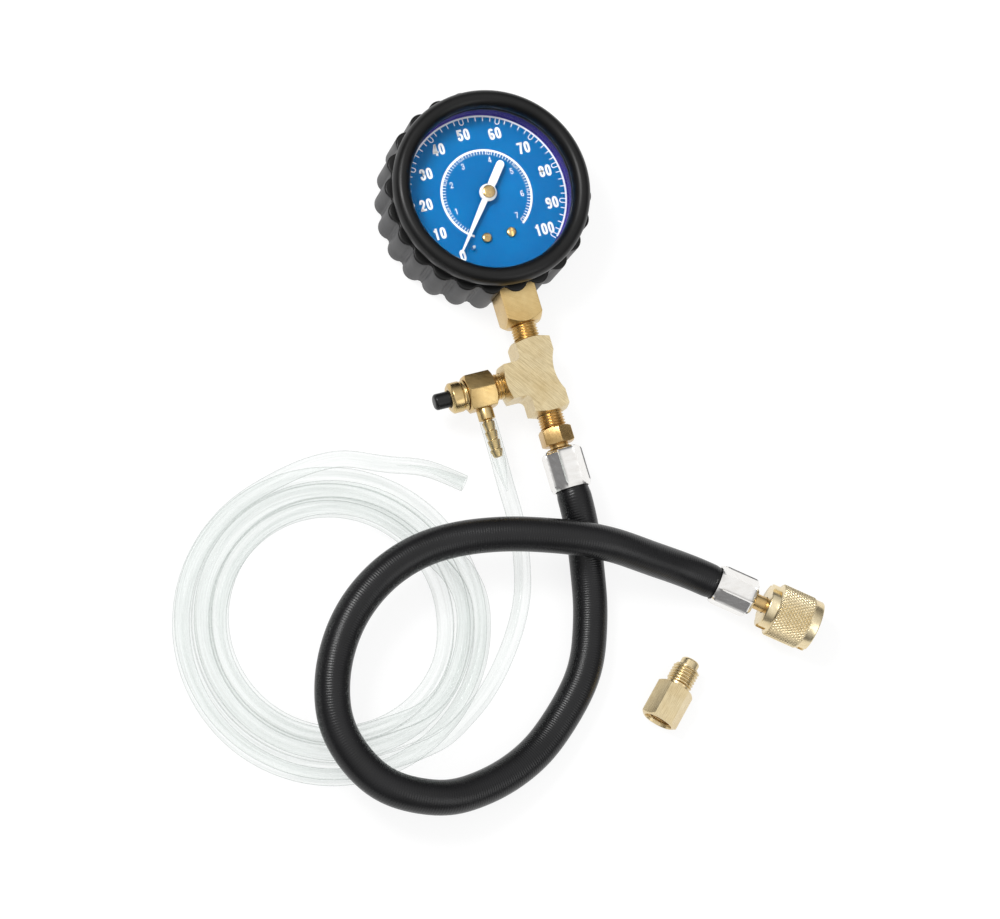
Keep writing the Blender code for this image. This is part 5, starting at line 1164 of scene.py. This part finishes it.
def make_nut():
    """Coupling nut: diamond knurl as real diamonds, notched ring and collar, threaded bore."""
    matrix = axis_frame(FERRULE_END + COUPLING_WAY * 0.0046, COUPLING_WAY)
    collar, knurl, ring, back = 0.0038, 0.0136, 0.0034, 0.0034
    upper = collar + knurl
    total = upper + ring
    knurl_r, ring_r, collar_r, bore, hole = 0.0104, 0.0100, 0.00875, 0.0074, 0.0033
    starts, columns, knurl_rows, notches = 46, 368, 130, 6
    foot = ((hole, 0.0), (collar_r - 0.0005, 0.0), (collar_r - 0.00015, 0.00015), (collar_r, 0.0005),
            (collar_r, collar - 0.0003), (collar_r + 0.0002, collar - 0.00005),
            (knurl_r - 0.0006, collar + 0.0001))
    head = ((knurl_r - 0.0003, upper - 0.0002), (ring_r, upper + 0.0002), (ring_r, total - 0.0005),
            (ring_r - 0.00015, total - 0.00015), (ring_r - 0.0005, total), (bore, total), (bore, back),
            (hole, back))
    rows = [hoop([radius] * columns, height, matrix) for radius, height in foot]
    turns = knurl / (math.tau * knurl_r) * 0.72
    for row in range(knurl_rows + 1):
        height = collar + 0.0004 + (knurl - 0.0008) * row / knurl_rows
        along = (height - collar) / knurl * turns
        fade = 0.0003 * (1 - min(1.0, min(height - collar, upper - height) / 0.0007))
        radii = []
        for index in range(columns):
            first = (index / columns + along) * starts % 1.0
            second = (index / columns - along) * starts % 1.0
            valley = min(first, 1 - first, second, 1 - second) * 2
            radii.append(knurl_r - 0.00042 * (1 - min(1.0, valley * 1.9)) - fade)
        rows.append(hoop(radii, height, matrix))
    rows += [hoop([radius] * columns, height, matrix) for radius, height in head]
    shape = bmesh.new()
    made = grid(shape, rows)
    wall(shape, made[-1], made[0])
    cuts = []
    for radius, low, high in ((ring_r, upper + 0.0004, total + 0.002), (collar_r, -0.002, collar - 0.0004)):
        for index in range(notches):
            cuts.append(box_mesh((0.0040, 0.0030, high - low), (radius + 0.0010, 0, (low + high) / 2),
                                 matrix @ spin(360 / notches * index)))
    piece("coupling_nut_knurled", carved(finished(shape), cuts), "brass_nut", "coupling_nut",
          body="coupling_nut", crease=50.0)
    inner_thread("coupling_nut_thread", matrix, 0.0138, total - 0.0006, bore + 0.00002, bore + 0.0002,
                 0.0013, 0.0007, 110, 64, "coupling_nut")


def make_adapter():
    """Loose adapter: hexagon with a chamfered bore, male thread and nose."""
    heading = math.radians(43.4)
    pitch, hole, nose, shank, bore = 0.00125, 0.0016, 0.0036, 0.0046, 0.0052
    matrix = axis_frame((0.0085, -0.2090, 0.0064), (math.cos(heading), math.sin(heading), 0), 30.0)
    mouth = turned_mesh([(0, -0.001), (0.0060, -0.001), (bore, 0.0008), (bore, 0.0120), (hole, 0.0120),
                         (hole, 0.0160), (0, 0.0160)], matrix, 72)
    shape = bar(6, 0.0128, 0.0149, matrix, 0.00022, (0.0060, 0.0062), cutters=[mouth], angle=28)
    lathe(shape, soften([(hole, 0.0269), (0.0029, 0.0269), (nose, 0.0262), (nose, 0.0236), (shank, 0.0226),
                         (shank, 0.0145), (hole, 0.0145)], 0.0003, 3, True), matrix, 64, True)
    thread(shape, 0.0052, pitch, 0.00075, 0.0160, 0.0236, matrix, 0.45)
    piece("adapter_hexagon", finished(shape), "brass_adapter", "adapter_body")
    inner_thread("adapter_inner_thread", matrix, 0.0012, 0.0098, bore + 0.00001, bore + 0.0001, pitch,
                 0.0005, 96, 56)


def dress_frame():
    """Node materials on the CAD pieces that stay."""
    finishes = {entry["node"]: entry["material_slot"] for entry in frame["record"]["subparts"]}
    for node, obj in frame["nodes"].items():
        look = LOOKS.get(finishes.get(node, "steel"))
        if not obj.material_slots:
            obj.data.materials.append(look)
        for place in obj.material_slots:
            place.material = look


def main():
    """Camera and cords first, then every other piece."""
    make_camera()
    make_floor()
    make_world()
    make_lamp("key", (-0.40, 0.30, 0.75), 0.26, 4.0)
    make_lamp("fill", (0.35, -0.75, 0.60), 0.50, 1.2)
    LOOKS.update(make_looks())
    dress_frame()
    hose, hose_points = make_hose()
    tube, tube_points = make_drain_tube()
    for make in (make_boot, make_dial, make_pointer, make_lens, make_socket, make_tee, make_valve, make_barb,
                 make_hose_fittings, make_nut, make_adapter):
        make()


main()
